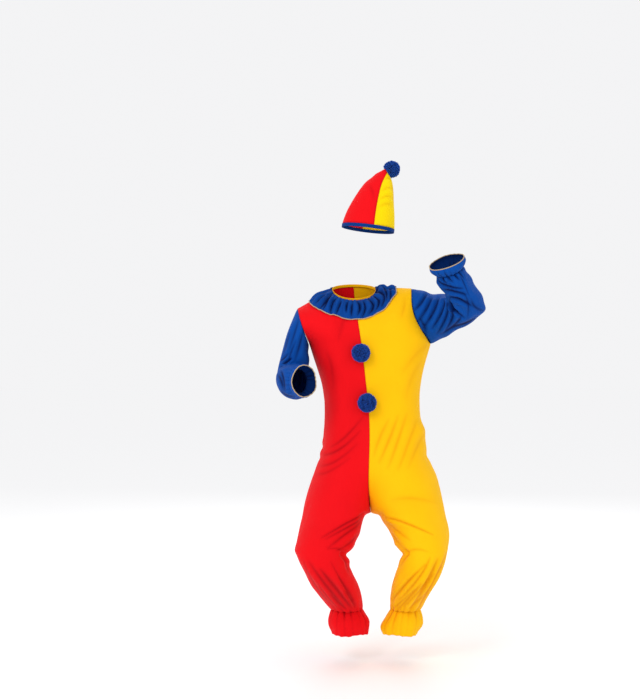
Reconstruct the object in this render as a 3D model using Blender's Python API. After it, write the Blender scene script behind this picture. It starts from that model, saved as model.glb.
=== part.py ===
# A two-colour clown jumpsuit with gathered frills and its pointed hat, hollow, as they hang when worn.
# Metres, +Z up, the front to -Y and the wearer's left to +X. The origin is the middle of the neck opening.
import itertools
import math

import bmesh
import bpy
import numpy as np
from mathutils import Vector
from mathutils.bvhtree import BVHTree

WALL = 0.002  # cloth with its seam allowance
SEAM_GAP = 0.0003  # between two pieces at a seam
MERGE = 1e-6
UP = np.array([0, 0, 1.0])

NECK_HALF_WIDTH = 0.079
NECK_FRONT = 0.085  # from the middle of the neck opening to its front edge
NECK_BACK = 0.072
NECK_FRONT_SLOPE = 0.47  # the opening dips towards the front
NECK_BACK_SLOPE = 0.25
ARMHOLE_DEPTH = 0.088  # half of the armhole, front to back
CHEST_CROWN = 0.010  # how far the centre seam rounds out between the neck and the armpits

PANEL_COLUMNS = 8  # from a centre seam round to a side seam
NECK_COLUMNS = 4  # those of them that end on the neckline
YOKE_ROWS = 8  # from the shoulder down to the armpit
TORSO_ROWS = 17  # from the armpit down to the crotch
LEG_ROWS = 11  # from the crotch down to the ankle gathers

ARMPIT = -0.190
CROTCH = -0.775
ANKLE = -1.108

FRILL_STEPS = 4  # columns in one wave of a gathered frill
COLLAR_WAVES = 26
COLLAR_ROWS = {"front": 3.4, "back": 3.4}  # how far the collar hangs over a panel, in its rows
COLLAR_COLUMNS = {"left": 2.1, "right": 2.6}  # and along a shoulder seam, in its columns
COLLAR_STARTS = (0.12, 0.14)  # rows and columns between the neckline and the collar's sewn edge
COLLAR_SHARES = (0.0, 0.34, 0.7, 1.0)  # its rings, from the neckline to its free edge
COLLAR_CLEAR = 0.0008
COLLAR_RISE = 0.0045  # how far its free edge stands off the panels
COLLAR_DEPTH = 0.0125  # and how deep its waves are there
ANKLE_WAVES = 13
ANKLE_FRILL_DROP = 0.080
ANKLE_FLARE = 0.011
ANKLE_DEPTH = 0.006
ANKLE_LEAN = {"right": 0.08, "left": -0.14}  # how far each ankle frill moves to the left as it drops
CUFF_WAVES = 13
CUFF_FRILL_DROP = 0.034
CUFF_FLARE = {"right": 0.009, "left": 0.014}
CUFF_DEPTH = 0.0045
FLARE_TURN = 0.62 * math.pi  # a frill flares out by this part of a sine wave and then hangs back

ARMPIT_EASE = 0.85  # the yoke's surface curves in between its edges with these powers
CENTRE_FADE = 1.5
ARMHOLE_FADE = 2.5
SLEEVE_HEAD_ROWS = 4  # sleeve rings that still follow the armhole's form
SLEEVE_HEAD_SHRINK = 0.25

RED = (0.80, 0.012, 0.016)
YELLOW = (0.93, 0.52, 0.012)
HAT_YELLOW = (0.95, 0.66, 0.008)
BLUE = (0.007, 0.070, 0.38)
DEEP_BLUE = (0.006, 0.030, 0.17)


def table(names, *rows):
    """Rows of measures as one array for each named column."""
    return dict(zip(names.split(), np.array(rows, float).T))


# Trunk, from the armpits to the crotch: where the seams and the surfaces lie at each height.
TRUNK = table(
    "height right centre left front seam_front side back seam_back",
    (-0.190, -0.156, 0.022, 0.268, -0.128, -0.128, 0.000, 0.112, 0.108),
    (-0.250, -0.136, 0.029, 0.249, -0.130, -0.130, 0.000, 0.110, 0.107),
    (-0.330, -0.111, 0.038, 0.231, -0.127, -0.128, 0.000, 0.104, 0.103),
    (-0.400, -0.101, 0.046, 0.228, -0.125, -0.128, 0.000, 0.106, 0.104),
    (-0.460, -0.103, 0.049, 0.234, -0.130, -0.133, 0.000, 0.118, 0.114),
    (-0.520, -0.107, 0.049, 0.249, -0.141, -0.143, 0.000, 0.138, 0.131),
    (-0.580, -0.118, 0.047, 0.256, -0.158, -0.153, -0.006, 0.148, 0.140),
    (-0.640, -0.141, 0.045, 0.284, -0.180, -0.154, -0.018, 0.152, 0.137),
    (-0.700, -0.160, 0.047, 0.299, -0.206, -0.136, -0.042, 0.141, 0.110),
    (-0.745, -0.172, 0.052, 0.306, -0.230, -0.100, -0.066, 0.112, 0.060),
    (-0.775, -0.178, 0.058, 0.310, -0.247, -0.035, -0.086, 0.082, -0.035),
)
# Legs, from the crotch over the bent knees to the ankle gathers.
LEGS = table(
    "height right_out right_in left_in left_out front middle back inseam",
    (-0.775, -0.178, 0.058, 0.058, 0.310, -0.247, -0.086, 0.082, -0.035),
    (-0.800, -0.185, 0.025, 0.102, 0.315, -0.259, -0.108, 0.046, -0.080),
    (-0.830, -0.192, 0.011, 0.118, 0.319, -0.273, -0.136, 0.004, -0.122),
    (-0.860, -0.199, -0.005, 0.133, 0.316, -0.288, -0.164, -0.034, -0.158),
    (-0.887, -0.201, -0.027, 0.156, 0.309, -0.300, -0.186, -0.064, -0.186),
    (-0.912, -0.192, -0.024, 0.153, 0.301, -0.304, -0.196, -0.084, -0.196),
    (-0.940, -0.177, -0.020, 0.142, 0.293, -0.297, -0.194, -0.094, -0.194),
    (-0.980, -0.160, -0.001, 0.131, 0.278, -0.268, -0.168, -0.070, -0.168),
    (-1.020, -0.141, 0.015, 0.124, 0.261, -0.227, -0.132, -0.042, -0.132),
    (-1.060, -0.112, 0.025, 0.123, 0.245, -0.176, -0.092, -0.014, -0.092),
    (-1.108, -0.079, 0.028, 0.126, 0.228, -0.101, -0.046, 0.008, -0.046),
)
# Shoulder tips, and how far each armhole curves in towards the neck between its tip and the armpit.
SHOULDERS = {
    "right": {"tip": (-0.197, 0.0, -0.066), "hollow": -0.004, "crown": 0.000},
    "left": {"tip": (0.200, 0.0, 0.005), "hollow": 0.030, "crown": 0.004},
}
# Sleeves: middle of each section, the way the sleeve runs there, and its half sizes.
SLEEVES = {
    "right": table(
        "x y z run_x run_y run_z across through",
        (-0.186, -0.006, -0.150, -0.50, -0.05, -0.85, 0.060, 0.084),
        (-0.196, -0.014, -0.180, -0.36, -0.10, -0.92, 0.054, 0.077),
        (-0.201, -0.019, -0.212, -0.20, -0.12, -0.97, 0.052, 0.068),
        (-0.204, -0.023, -0.245, -0.10, -0.16, -0.98, 0.052, 0.058),
        (-0.208, -0.031, -0.276, 0.02, -0.48, -0.88, 0.055, 0.052),
        (-0.210, -0.050, -0.300, 0.08, -0.80, -0.60, 0.057, 0.052),
        (-0.209, -0.080, -0.313, 0.14, -0.96, -0.24, 0.061, 0.055),
        (-0.205, -0.115, -0.318, 0.20, -0.97, -0.08, 0.062, 0.058),
        (-0.197, -0.150, -0.319, 0.28, -0.96, 0.00, 0.058, 0.057),
        (-0.188, -0.180, -0.317, 0.38, -0.92, 0.02, 0.049, 0.051),
        (-0.179, -0.205, -0.315, 0.48, -0.87, 0.04, 0.036, 0.043),
    ),
    "left": table(
        "x y z run_x run_y run_z across through",
        (0.262, -0.012, -0.090, 0.90, -0.20, 0.34, 0.089, 0.086),
        (0.294, -0.030, -0.086, 0.88, -0.30, 0.38, 0.080, 0.082),
        (0.325, -0.052, -0.079, 0.80, -0.34, 0.50, 0.072, 0.077),
        (0.350, -0.075, -0.069, 0.68, -0.38, 0.62, 0.069, 0.073),
        (0.367, -0.098, -0.056, 0.48, -0.42, 0.76, 0.068, 0.070),
        (0.372, -0.120, -0.039, 0.22, -0.44, 0.87, 0.067, 0.068),
        (0.368, -0.138, -0.021, 0.06, -0.44, 0.90, 0.066, 0.067),
        (0.360, -0.155, -0.002, -0.12, -0.42, 0.90, 0.063, 0.065),
        (0.348, -0.172, 0.016, -0.22, -0.40, 0.89, 0.060, 0.062),
        (0.333, -0.190, 0.034, -0.28, -0.38, 0.88, 0.055, 0.056),
        (0.314, -0.208, 0.054, -0.34, -0.36, 0.87, 0.046, 0.046),
    ),
}
# Hat: the middle of each section, how far it leans towards the wearer's left, and its radius.
HAT = table(
    "x z lean radius",
    (0.050, 0.222, 7.0, 0.094),
    (0.054, 0.250, 4.0, 0.089),
    (0.059, 0.276, 2.0, 0.083),
    (0.065, 0.302, 1.0, 0.076),
    (0.072, 0.329, 1.0, 0.068),
    (0.080, 0.354, 2.0, 0.058),
    (0.090, 0.376, 8.0, 0.046),
    (0.099, 0.391, 20.0, 0.034),
    (0.107, 0.403, 38.0, 0.023),
    (0.1155, 0.414, 60.0, 0.012),
)
HAT_COLUMNS = 12
HAT_SEAM_TURN = math.radians(10)  # the front seam lies this far round towards the wearer's left
HAT_BINDING_HEIGHT = 0.012
# Broad folds of the front and the back: both ends, half width and how far they stand out.
FRONT_FOLDS = table(
    "x_from z_from x_to z_to width height",
    (0.215, -0.425, 0.075, -0.560, 0.020, 0.010),
    (0.232, -0.480, 0.085, -0.640, 0.022, 0.011),
    (0.245, -0.550, 0.120, -0.690, 0.024, 0.009),
    (-0.095, -0.560, 0.020, -0.455, 0.020, 0.009),
    (-0.120, -0.635, 0.015, -0.525, 0.022, 0.010),
    (-0.145, -0.705, 0.010, -0.610, 0.024, 0.008),
    (0.200, -0.240, 0.070, -0.310, 0.024, 0.007),
    (-0.110, -0.235, -0.010, -0.300, 0.022, 0.006),
    (0.075, -0.720, 0.215, -0.760, 0.024, 0.009),
    (0.035, -0.720, -0.110, -0.765, 0.024, 0.009),
    (0.285, -0.930, 0.190, -1.060, 0.017, 0.010),
    (0.225, -0.925, 0.168, -1.070, 0.016, 0.009),
    (-0.165, -0.935, -0.055, -1.065, 0.017, 0.010),
    (-0.085, -0.930, -0.015, -1.070, 0.016, 0.009),
)
BACK_FOLDS = table(
    "x_from z_from x_to z_to width height",
    (-0.080, -0.410, 0.030, -0.500, 0.022, 0.009),
    (0.205, -0.415, 0.080, -0.515, 0.022, 0.010),
    (-0.120, -0.640, 0.010, -0.560, 0.024, 0.009),
    (0.265, -0.640, 0.085, -0.570, 0.024, 0.010),
    (-0.140, -0.760, 0.020, -0.700, 0.024, 0.010),
    (0.280, -0.765, 0.085, -0.705, 0.024, 0.009),
    (-0.120, -0.240, 0.000, -0.330, 0.026, 0.007),
    (0.215, -0.245, 0.060, -0.345, 0.026, 0.008),
    (-0.150, -0.960, -0.050, -1.060, 0.017, 0.009),
    (0.265, -0.955, 0.175, -1.060, 0.017, 0.009),
)
# Folds round a sleeve: both ends, as shares of its length and degrees round it from the shoulder line.
SLEEVE_FOLDS = {
    "right": table(
        "along_from turn_from along_to turn_to width height",
        (0.10, 20, 0.42, 80, 0.075, 0.007),
        (0.30, 150, 0.50, 60, 0.070, 0.008),
        (0.25, 200, 0.48, 300, 0.070, 0.007),
        (0.60, 40, 0.92, 20, 0.060, 0.007),
        (0.62, 120, 0.92, 110, 0.060, 0.006),
        (0.60, 230, 0.90, 250, 0.065, 0.006),
    ),
    "left": table(
        "along_from turn_from along_to turn_to width height",
        (0.08, 150, 0.46, 60, 0.070, 0.010),
        (0.14, 185, 0.52, 110, 0.065, 0.009),
        (0.12, 215, 0.50, 290, 0.070, 0.009),
        (0.60, 60, 0.94, 50, 0.060, 0.008),
        (0.58, 120, 0.94, 105, 0.060, 0.007),
        (0.60, 240, 0.92, 255, 0.065, 0.007),
    ),
}
# Pompoms on the centre seam: where the middle lies in the front view, and the whole radius.
POMPOMS = {
    "pompom_upper": {"at": (0.019, -0.220), "radius": 0.035},
    "pompom_lower": {"at": (0.040, -0.389), "radius": 0.036},
}
HAT_POMPOM_RADIUS = 0.031
LOCK_SHARE = 0.66  # the core's radius as a share of the whole
SEAT_SHARE = 0.80  # the distance of the seat as a share of the core's radius
SEAT_CLEAR = 0.25  # no lock starts further round towards the seat than this cosine

PLACKET_WIDTH = 0.030
PLACKET_TOP_ROW = 3
PLACKET_ROWS = 12
PLACKET_WALL = 0.0015
PLACKET_CLEAR = 0.0012
NECK_BINDING_RISE = 0.006
NECK_BINDING_DROP = 0.004


def unit(vectors):
    return vectors / np.maximum(np.linalg.norm(vectors, axis=-1, keepdims=True), 1e-12)


def smooth_read(columns, name, at):
    """A table's columns on smooth curves through its rows, read at new values of the named one."""
    x = columns[name]
    turned = 1 if x[-1] > x[0] else -1
    x, at = x * turned, np.asarray(at) * turned
    cell = np.clip(np.searchsorted(x, at) - 1, 0, len(x) - 2)
    step = x[cell + 1] - x[cell]
    t = (at - x[cell]) / step
    found = {}
    for key, y in columns.items():
        slope = np.gradient(y, x)
        a, b = y[cell], y[cell + 1]
        rise_a, rise_b = slope[cell] * step, slope[cell + 1] * step
        square = 3 * (b - a) - 2 * rise_a - rise_b
        cube = 2 * (a - b) + rise_a + rise_b
        found[key] = a + t * (rise_a + t * (square + t * cube))
    return found


def half_section(inner, seam, outer, side, surface, steps=PANEL_COLUMNS):
    """Half of a level section, from the centre seam or inseam out to the side seam: x and y at even turns."""
    turn = np.linspace(-90, 90, steps + 1)
    peak = (inner + outer) / 2
    deep = abs(surface - side)
    roundness = min(max(abs(surface - seam) / max(deep, 1e-6), 0), 1)
    sine, cosine = np.sin(np.radians(turn)), np.cos(np.radians(turn))
    inside = roundness * -sine + (1 - roundness) * -turn / 90
    x = np.where(turn < 0, peak + (inner - peak) * inside, peak + (outer - peak) * sine)
    y = np.where(turn < 0, seam + (surface - seam) * cosine, side + (surface - side) * cosine)
    return x, y


def lower_panel(side_name, face):
    """The panel's points from the armpit row down to the ankle row."""
    trunk = smooth_read(TRUNK, "height", np.linspace(ARMPIT, CROTCH, TORSO_ROWS + 1))
    legs = smooth_read(LEGS, "height", np.linspace(CROTCH, ANKLE, LEG_ROWS + 1)[1:])
    rows = []
    for i, height in enumerate(trunk["height"]):
        seam = trunk["seam_" + face][i]
        x, y = half_section(trunk["centre"][i], seam, trunk[side_name][i], trunk["side"][i], trunk[face][i])
        rows.append(np.stack([x, y, np.full_like(x, height)], axis=1))
    for i, height in enumerate(legs["height"]):
        inner, outer = legs[side_name + "_in"][i], legs[side_name + "_out"][i]
        x, y = half_section(inner, legs["inseam"][i], outer, legs["middle"][i], legs[face][i])
        rows.append(np.stack([x, y, np.full_like(x, height)], axis=1))
    return np.array(rows)


def neck_edge(turn, away, face):
    """A point of the neck opening's edge, turned from its front or back middle towards a shoulder."""
    reach, slope = (-NECK_FRONT, NECK_FRONT_SLOPE) if face == "front" else (NECK_BACK, NECK_BACK_SLOPE)
    y = reach * np.cos(turn)
    return np.stack([away * NECK_HALF_WIDTH * np.sin(turn), y, slope * y], axis=-1)


def yoke(side_name, face, armpit_row):
    """The panel's points above the armpit row, blended from its four edges: neck and shoulder on top."""
    away = -1 if side_name == "right" else 1
    front = -1 if face == "front" else 1
    shoulder = SHOULDERS[side_name]
    tip = np.array(shoulder["tip"])
    neck = neck_edge(np.linspace(0, math.pi / 2, NECK_COLUMNS + 1), away, face)
    out = np.linspace(0, 1, PANEL_COLUMNS - NECK_COLUMNS + 1)[1:, None]
    seam = neck[-1] * (1 - out) + tip * out
    seam[:, 2] += shoulder["crown"] * np.sin(math.pi * out[:, 0])
    top = np.concatenate([neck, seam])
    turn = np.linspace(math.pi, 0, YOKE_ROWS + 1)[:-1]  # from the shoulder tip down the armhole
    down = ((1 + np.cos(turn)) / 2)[:, None]
    armpit = armpit_row[-1]
    armhole = tip * (1 - down) + armpit * down
    armhole[:, 0] -= away * shoulder["hollow"] * np.sin(math.pi * down[:, 0])
    armhole[:, 1] += front * ARMHOLE_DEPTH * np.sin(turn)
    even = np.linspace(0, 1, YOKE_ROWS + 1)[:-1]
    centre = top[0] * (1 - even[:, None]) + armpit_row[0] * even[:, None]
    centre[:, 1] += front * CHEST_CROWN * np.sin(math.pi * even)
    share = np.stack([even, np.sin(even * math.pi / 2) ** ARMPIT_EASE, even], axis=1)[:, None]
    blend = top[None] * (1 - share) + armpit_row[None] * share
    across = np.linspace(0, 1, PANEL_COLUMNS + 1)[None, :, None]
    from_centre = (centre - blend[:, 0])[:, None] * (1 - across) ** CENTRE_FADE
    from_armhole = (armhole - blend[:, -1])[:, None] * across**ARMHOLE_FADE
    return blend + from_centre + from_armhole


def panel(side_name, face):
    below = lower_panel(side_name, face)
    return np.concatenate([yoke(side_name, face, below[0]), below])


def shared_normals(sheets, outward):
    """Normals of several sheets that agree wherever their points meet."""
    total = {}
    keys = {name: np.round(points * 1e5).astype(int) for name, points in sheets.items()}
    for name, p in sheets.items():
        cross = np.cross(p[1:, 1:] - p[:-1, :-1], p[1:, :-1] - p[:-1, 1:]) * outward[name]
        ends = (slice(0, -1), slice(1, None))
        for rows, columns in itertools.product(ends, ends):
            for key, face in zip(keys[name][rows, columns].reshape(-1, 3), cross.reshape(-1, 3)):
                total[tuple(key)] = total.get(tuple(key), 0) + face
    summed = {name: np.array([[total[tuple(key)] for key in row] for row in keys[name]]) for name in sheets}
    return {name: unit(vectors) for name, vectors in summed.items()}


def fold_height(height, along, apart):
    """The lift of a fold that fades towards its ends and to both sides."""
    return height * np.sin(math.pi * (0.12 + 0.76 * along)) * np.exp(-(apart**2))


def fold_heights(points, folds):
    """How far folds that run along straight lines in the front view lift each point."""
    flat = points[..., [0, 2]]
    lift = np.zeros(points.shape[:-1])
    for x_from, z_from, x_to, z_to, width, height in zip(*folds.values()):
        start, run = np.array([x_from, z_from]), np.array([x_to - x_from, z_to - z_from])
        along = np.clip((flat - start) @ run / (run @ run), 0, 1)
        apart = np.linalg.norm(flat - start - along[..., None] * run, axis=-1)
        lift += fold_height(height, along, apart / width)
    return lift


def add_body_folds(sheets, normals):
    for name in sheets:
        facing = normals[name][..., 1]
        lift = fold_heights(sheets[name], FRONT_FOLDS) * np.clip(-facing, 0, 1)
        lift += fold_heights(sheets[name], BACK_FOLDS) * np.clip(facing, 0, 1)
        sheets[name] = sheets[name] + normals[name] * lift[..., None]


def pulled_back(points, edges):
    """The sheet with its sewn edges moved in by half of a seam's gap."""
    moved = points.copy()
    lines = {
        "inner": (points[:, 0], points[:, 1], (slice(None), 0)),
        "outer": (points[:, -1], points[:, -2], (slice(None), -1)),
        "top": (points[0], points[1], (0, slice(None))),
    }
    for edge in edges:
        line, next_line, place = lines[edge]
        along = unit(np.gradient(line, axis=0))
        inward = next_line - line
        inward -= (inward * along).sum(-1, keepdims=True) * along
        moved[place] += unit(inward) * SEAM_GAP / 2
    return moved


def sleeve_sections(side_name, armhole):
    """Rings from the armhole to the wrist. Column 0 is the shoulder line and the front comes first."""
    rows = SLEEVES[side_name]
    away = -1 if side_name == "right" else 1
    count = len(armhole) - 1
    centre = armhole[:-1].mean(axis=0)
    middles = np.stack([rows["x"], rows["y"], rows["z"]], axis=1)
    runs = unit(np.stack([rows["run_x"], rows["run_y"], rows["run_z"]], axis=1))
    up = unit(armhole[0] - centre)
    turn = np.linspace(0, 2 * math.pi, count + 1)
    rings = [armhole]
    for i, (middle, run) in enumerate(zip(middles, runs)):
        up = unit(up - (up @ run) * run)
        front = away * np.cross(run, up)
        ring = middle + rows["across"][i] * np.cos(turn)[:, None] * up
        ring = ring + rows["through"][i] * np.sin(turn)[:, None] * front
        share = min((i + 1) / SLEEVE_HEAD_ROWS, 1)
        carried = armhole + (middle - centre)
        shrink = 1 - SLEEVE_HEAD_SHRINK * share
        ring = share * ring + (1 - share) * (middle + (carried - middle) * shrink)
        ring[-1] = ring[0]
        rings.append(ring)
    return np.array(rings), middles[-1], runs[-1]


def add_sleeve_folds(points, normals, folds):
    rows, columns = points.shape[:2]
    along = np.linspace(0, 1, rows)[:, None]
    turn = np.linspace(0, 360, columns)[None, :]
    lift = np.zeros((rows, columns))
    for along_from, turn_from, along_to, turn_to, width, height in zip(*folds.values()):
        for full_turn in (-360, 0, 360):
            run = np.array([along_to - along_from, (turn_to - turn_from) / 360])
            turned = (turn + full_turn - turn_from) / 360
            place = np.stack(np.broadcast_arrays(along - along_from, turned), axis=-1)
            share = np.clip(place @ run / (run @ run), 0, 1)
            apart = np.linalg.norm(place - share[..., None] * run, axis=-1)
            lift += fold_height(height, share, apart / width)
    lift *= np.clip(np.minimum(along * 6, (1 - along) * 8), 0, 1)
    return points + normals * lift[..., None]


def flattened(normals, axis):
    """Normals turned into the plane that the axis stands on."""
    return unit(normals - (normals @ axis)[..., None] * axis)


def frill(ring, middle, run, drop, waves, flare, depth, rings=3):
    """A gathered frill that starts on a ring and flares along the way it runs."""
    count = waves * FRILL_STEPS
    place = np.linspace(0, len(ring) - 1, count + 1)
    first = np.floor(place).astype(int).clip(0, len(ring) - 2)
    start = ring[first] + (ring[first + 1] - ring[first]) * (place - first)[:, None]
    start = start + run * SEAM_GAP
    away = unit((start - middle) - ((start - middle) @ run)[:, None] * run)
    turn = np.linspace(0, 2 * math.pi, count + 1)
    wave = np.sin(waves * turn)
    slow = 0.5 + 0.5 * np.sin(3 * turn + 0.7)
    rows = [start]
    for share in np.linspace(0, 1, rings + 1)[1:]:
        out = flare * math.sin(share * FLARE_TURN) + depth * share**0.7 * wave * (0.8 + 0.35 * slow)
        rows.append(start + run * drop * share * (1 + 0.03 * wave)[:, None] + away * out[:, None])
    points = np.array(rows)
    points[:, -1] = points[:, 0]
    return points


def tube_normals(points):
    """Normals of a tube that point away from its middle line."""
    normals = shared_normals({"tube": points}, {"tube": 1})["tube"]
    middle = points[:, :-1].mean(axis=1, keepdims=True)
    return normals if (normals * (points - middle)).sum() > 0 else -normals


def sampled(grid, row, column):
    """A sheet read between its points."""
    r = np.clip(np.floor(row).astype(int), 0, grid.shape[0] - 2)
    c = np.clip(np.floor(column).astype(int), 0, grid.shape[1] - 2)
    v, u = (row - r)[..., None], (column - c)[..., None]
    near = grid[r, c] * (1 - v) + grid[r + 1, c] * v
    far = grid[r, c + 1] * (1 - v) + grid[r + 1, c + 1] * v
    return near * (1 - u) + far * u


def collar(sheets, normals):
    """The neck frill: it starts on the neckline's outer side and lies over the shoulders, in waves."""
    steps = COLLAR_WAVES * FRILL_STEPS
    quarters = (("front", "left", 1), ("back", "left", -1), ("back", "right", 1), ("front", "right", -1))
    place = np.linspace(0, 4, steps + 1)[:-1]
    rings = []
    for share in COLLAR_SHARES:
        ring = []
        for at in place:
            face, side_name, way = quarters[int(at)]
            part = at - int(at)
            column = NECK_COLUMNS * (part if way > 0 else 1 - part)
            turn = column / NECK_COLUMNS * math.pi / 2
            reach_down = COLLAR_ROWS[face] * max(math.cos(turn), 0) ** 0.5
            reach_out = COLLAR_COLUMNS[side_name] * math.sin(turn) ** 1.2
            row = np.array(COLLAR_STARTS[0] * math.cos(turn) + share * reach_down)
            name = f"{face}_{side_name}"
            spread = np.array(column + COLLAR_STARTS[1] * math.sin(turn) + share * reach_out)
            wave = math.sin(at / 4 * 2 * math.pi * COLLAR_WAVES)
            slow = 0.5 + 0.5 * math.sin(at / 4 * 6 * math.pi + 1.0)
            depth = COLLAR_DEPTH * share**0.8 * (1 + wave * (0.75 + 0.25 * slow)) / 2
            lift = WALL + COLLAR_CLEAR + COLLAR_RISE * share + depth
            ring.append(sampled(sheets[name], row, spread) + unit(sampled(normals[name], row, spread)) * lift)
        ring.append(ring[0])
        rings.append(ring)
    return np.array(rings)


def neck_ring(sheets):
    """The neckline's own points, once round from the front middle over the left shoulder."""
    quarters = (("front_left", 1), ("back_left", -1), ("back_right", 1), ("front_right", -1))
    ring = []
    for name, way in quarters:
        ring.extend(sheets[name][0, : NECK_COLUMNS + 1][::way][:-1])
    return np.array(ring + ring[:1])


def neck_binding(sheets):
    ring = neck_ring(sheets)
    inward = unit(-ring * (1, 1, 0))
    slope = np.where(ring[:, 1] < 0, NECK_FRONT_SLOPE, NECK_BACK_SLOPE)
    up = unit(np.stack([np.zeros_like(slope), -slope, np.ones_like(slope)], axis=1))
    start = ring + inward * 2 * SEAM_GAP
    points = np.array([start + up * rise for rise in (NECK_BINDING_RISE, 0, -NECK_BINDING_DROP)])
    return points, np.broadcast_to(inward, points.shape)


def placket(sheets, normals):
    """The lapped closing down the centre back, on points of both back panels."""
    rows = np.arange(PLACKET_TOP_ROW, PLACKET_TOP_ROW + PLACKET_ROWS + 1)
    columns = []
    for name, share in (("back_right", 1.0), ("back_right", 0.0), ("back_left", 1.0)):
        line, beside = sheets[name][rows, 0], sheets[name][rows, 1]
        half = PLACKET_WIDTH / 2 / np.linalg.norm(beside - line, axis=-1, keepdims=True)
        raised = unit(normals[name][rows, 0] * (1 - half * share) + normals[name][rows, 1] * half * share)
        points = line + (beside - line) * half * share
        columns.append(np.stack([points, raised]))
    points, raised = np.array(columns).transpose(1, 2, 0, 3)
    return points + raised * (WALL + PLACKET_CLEAR), raised


def hat_gores():
    """The two halves of the hat, from the base up, each from the front seam round to the back seam."""
    lean = np.radians(HAT["lean"])[:, None]
    across = np.concatenate([np.cos(lean), np.zeros_like(lean), -np.sin(lean)], axis=1)
    middle = np.stack([HAT["x"], np.zeros_like(HAT["x"]), HAT["z"]], axis=1)
    halves = {}
    for name, way in (("hat_left", 1), ("hat_right", -1)):
        turn = HAT_SEAM_TURN + way * np.linspace(0, math.pi, HAT_COLUMNS + 1)
        bulge = 1 + 0.03 * np.cos(2 * (turn - HAT_SEAM_TURN))
        sine, cosine = np.sin(turn)[None, :, None], np.cos(turn)[None, :, None]
        out = sine * across[:, None] + cosine * np.array([0, -1, 0])
        halves[name] = middle[:, None] + out * (HAT["radius"][:, None] * bulge)[..., None]
    return halves, middle, lean[:, 0]


def clear_scene():
    for thing in list(bpy.data.objects):
        bpy.data.objects.remove(thing, do_unlink=True)


def cloth_material(name, colour, roughness=0.72):
    material = bpy.data.materials.new(name)
    material.use_nodes = True
    shader = material.node_tree.nodes["Principled BSDF"]
    shader.inputs["Base Color"].default_value = (*colour, 1)
    shader.inputs["Roughness"].default_value = roughness
    shader.inputs["Sheen Weight"].default_value = 0.25
    return material


def place(name, mesh, material):
    mesh.materials.append(material)
    mesh.shade_smooth()
    mesh.set_sharp_from_angle(angle=math.radians(50))
    thing = bpy.data.objects.new(name, mesh)
    costume.objects.link(thing)
    return thing


def cloth(name, points, normals, colour, wall=WALL, around=False):
    """One piece of cloth: a sheet of points whose wall is raised along the normals."""
    rows, columns = points.shape[:2]
    flat, raised = points.reshape(-1, 3), (points + normals * wall).reshape(-1, 3)
    bm = bmesh.new()
    bmesh.ops.create_grid(bm, x_segments=columns - 1, y_segments=rows - 1, size=1)
    spot = bm.verts.layers.int.new("spot")
    for index, vert in enumerate(bm.verts):
        vert.co = flat[index]
        vert[spot] = index
    if around:
        bmesh.ops.remove_doubles(bm, verts=bm.verts[:], dist=MERGE)
    grown = bmesh.ops.extrude_face_region(bm, geom=bm.faces[:])
    for item in grown["geom"]:
        if isinstance(item, bmesh.types.BMVert):
            item.co = raised[item[spot]]
    bmesh.ops.recalc_face_normals(bm, faces=bm.faces[:])
    mesh = bpy.data.meshes.new(name)
    bm.to_mesh(mesh)
    bm.free()
    mesh.attributes.remove(mesh.attributes["spot"])
    return place(name, mesh, cloth_material(name, colour))


def pompom(name, middle, radius, seat, colour):
    """A ball of three-sided locks on a core with a flat seat."""
    core = radius * LOCK_SHARE
    seat = Vector(seat).normalized()
    bm = bmesh.new()
    bmesh.ops.create_icosphere(bm, subdivisions=2, radius=core)
    locks = [face for face in bm.faces if face.calc_center_median().normalized().dot(seat) < SEAT_CLEAR]
    bmesh.ops.inset_individual(bm, faces=locks, thickness=core * 0.035)
    for index, lock in enumerate(locks):
        length = (radius - core) * (0.86 + 0.14 * math.sin(index * 2.4))
        bmesh.ops.poke(bm, faces=[lock], offset=length)
    for vert in bm.verts:
        over = vert.co.dot(seat) - core * SEAT_SHARE
        if over > 0:
            vert.co -= seat * over
        vert.co += Vector(middle)
    bmesh.ops.recalc_face_normals(bm, faces=bm.faces[:])
    mesh = bpy.data.meshes.new(name)
    bm.to_mesh(mesh)
    bm.free()
    return place(name, mesh, cloth_material(name, colour, 0.9))


def clear_front(panels, x, z, radius):
    """The foremost y of the given objects within a radius of a point of the front view."""
    foremost = 1.0
    for thing in panels:
        bm = bmesh.new()
        bm.from_mesh(thing.data)
        tree = BVHTree.FromBMesh(bm)
        bm.free()
        for ring in (0, 0.5, 1):
            for turn in np.linspace(0, 2 * math.pi, 16, endpoint=False):
                start = Vector((x + ring * radius * math.cos(turn), -1, z + ring * radius * math.sin(turn)))
                hit = tree.ray_cast(start, Vector((0, 1, 0)))[0]
                foremost = min(foremost, hit.y) if hit else foremost
    return foremost


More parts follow.
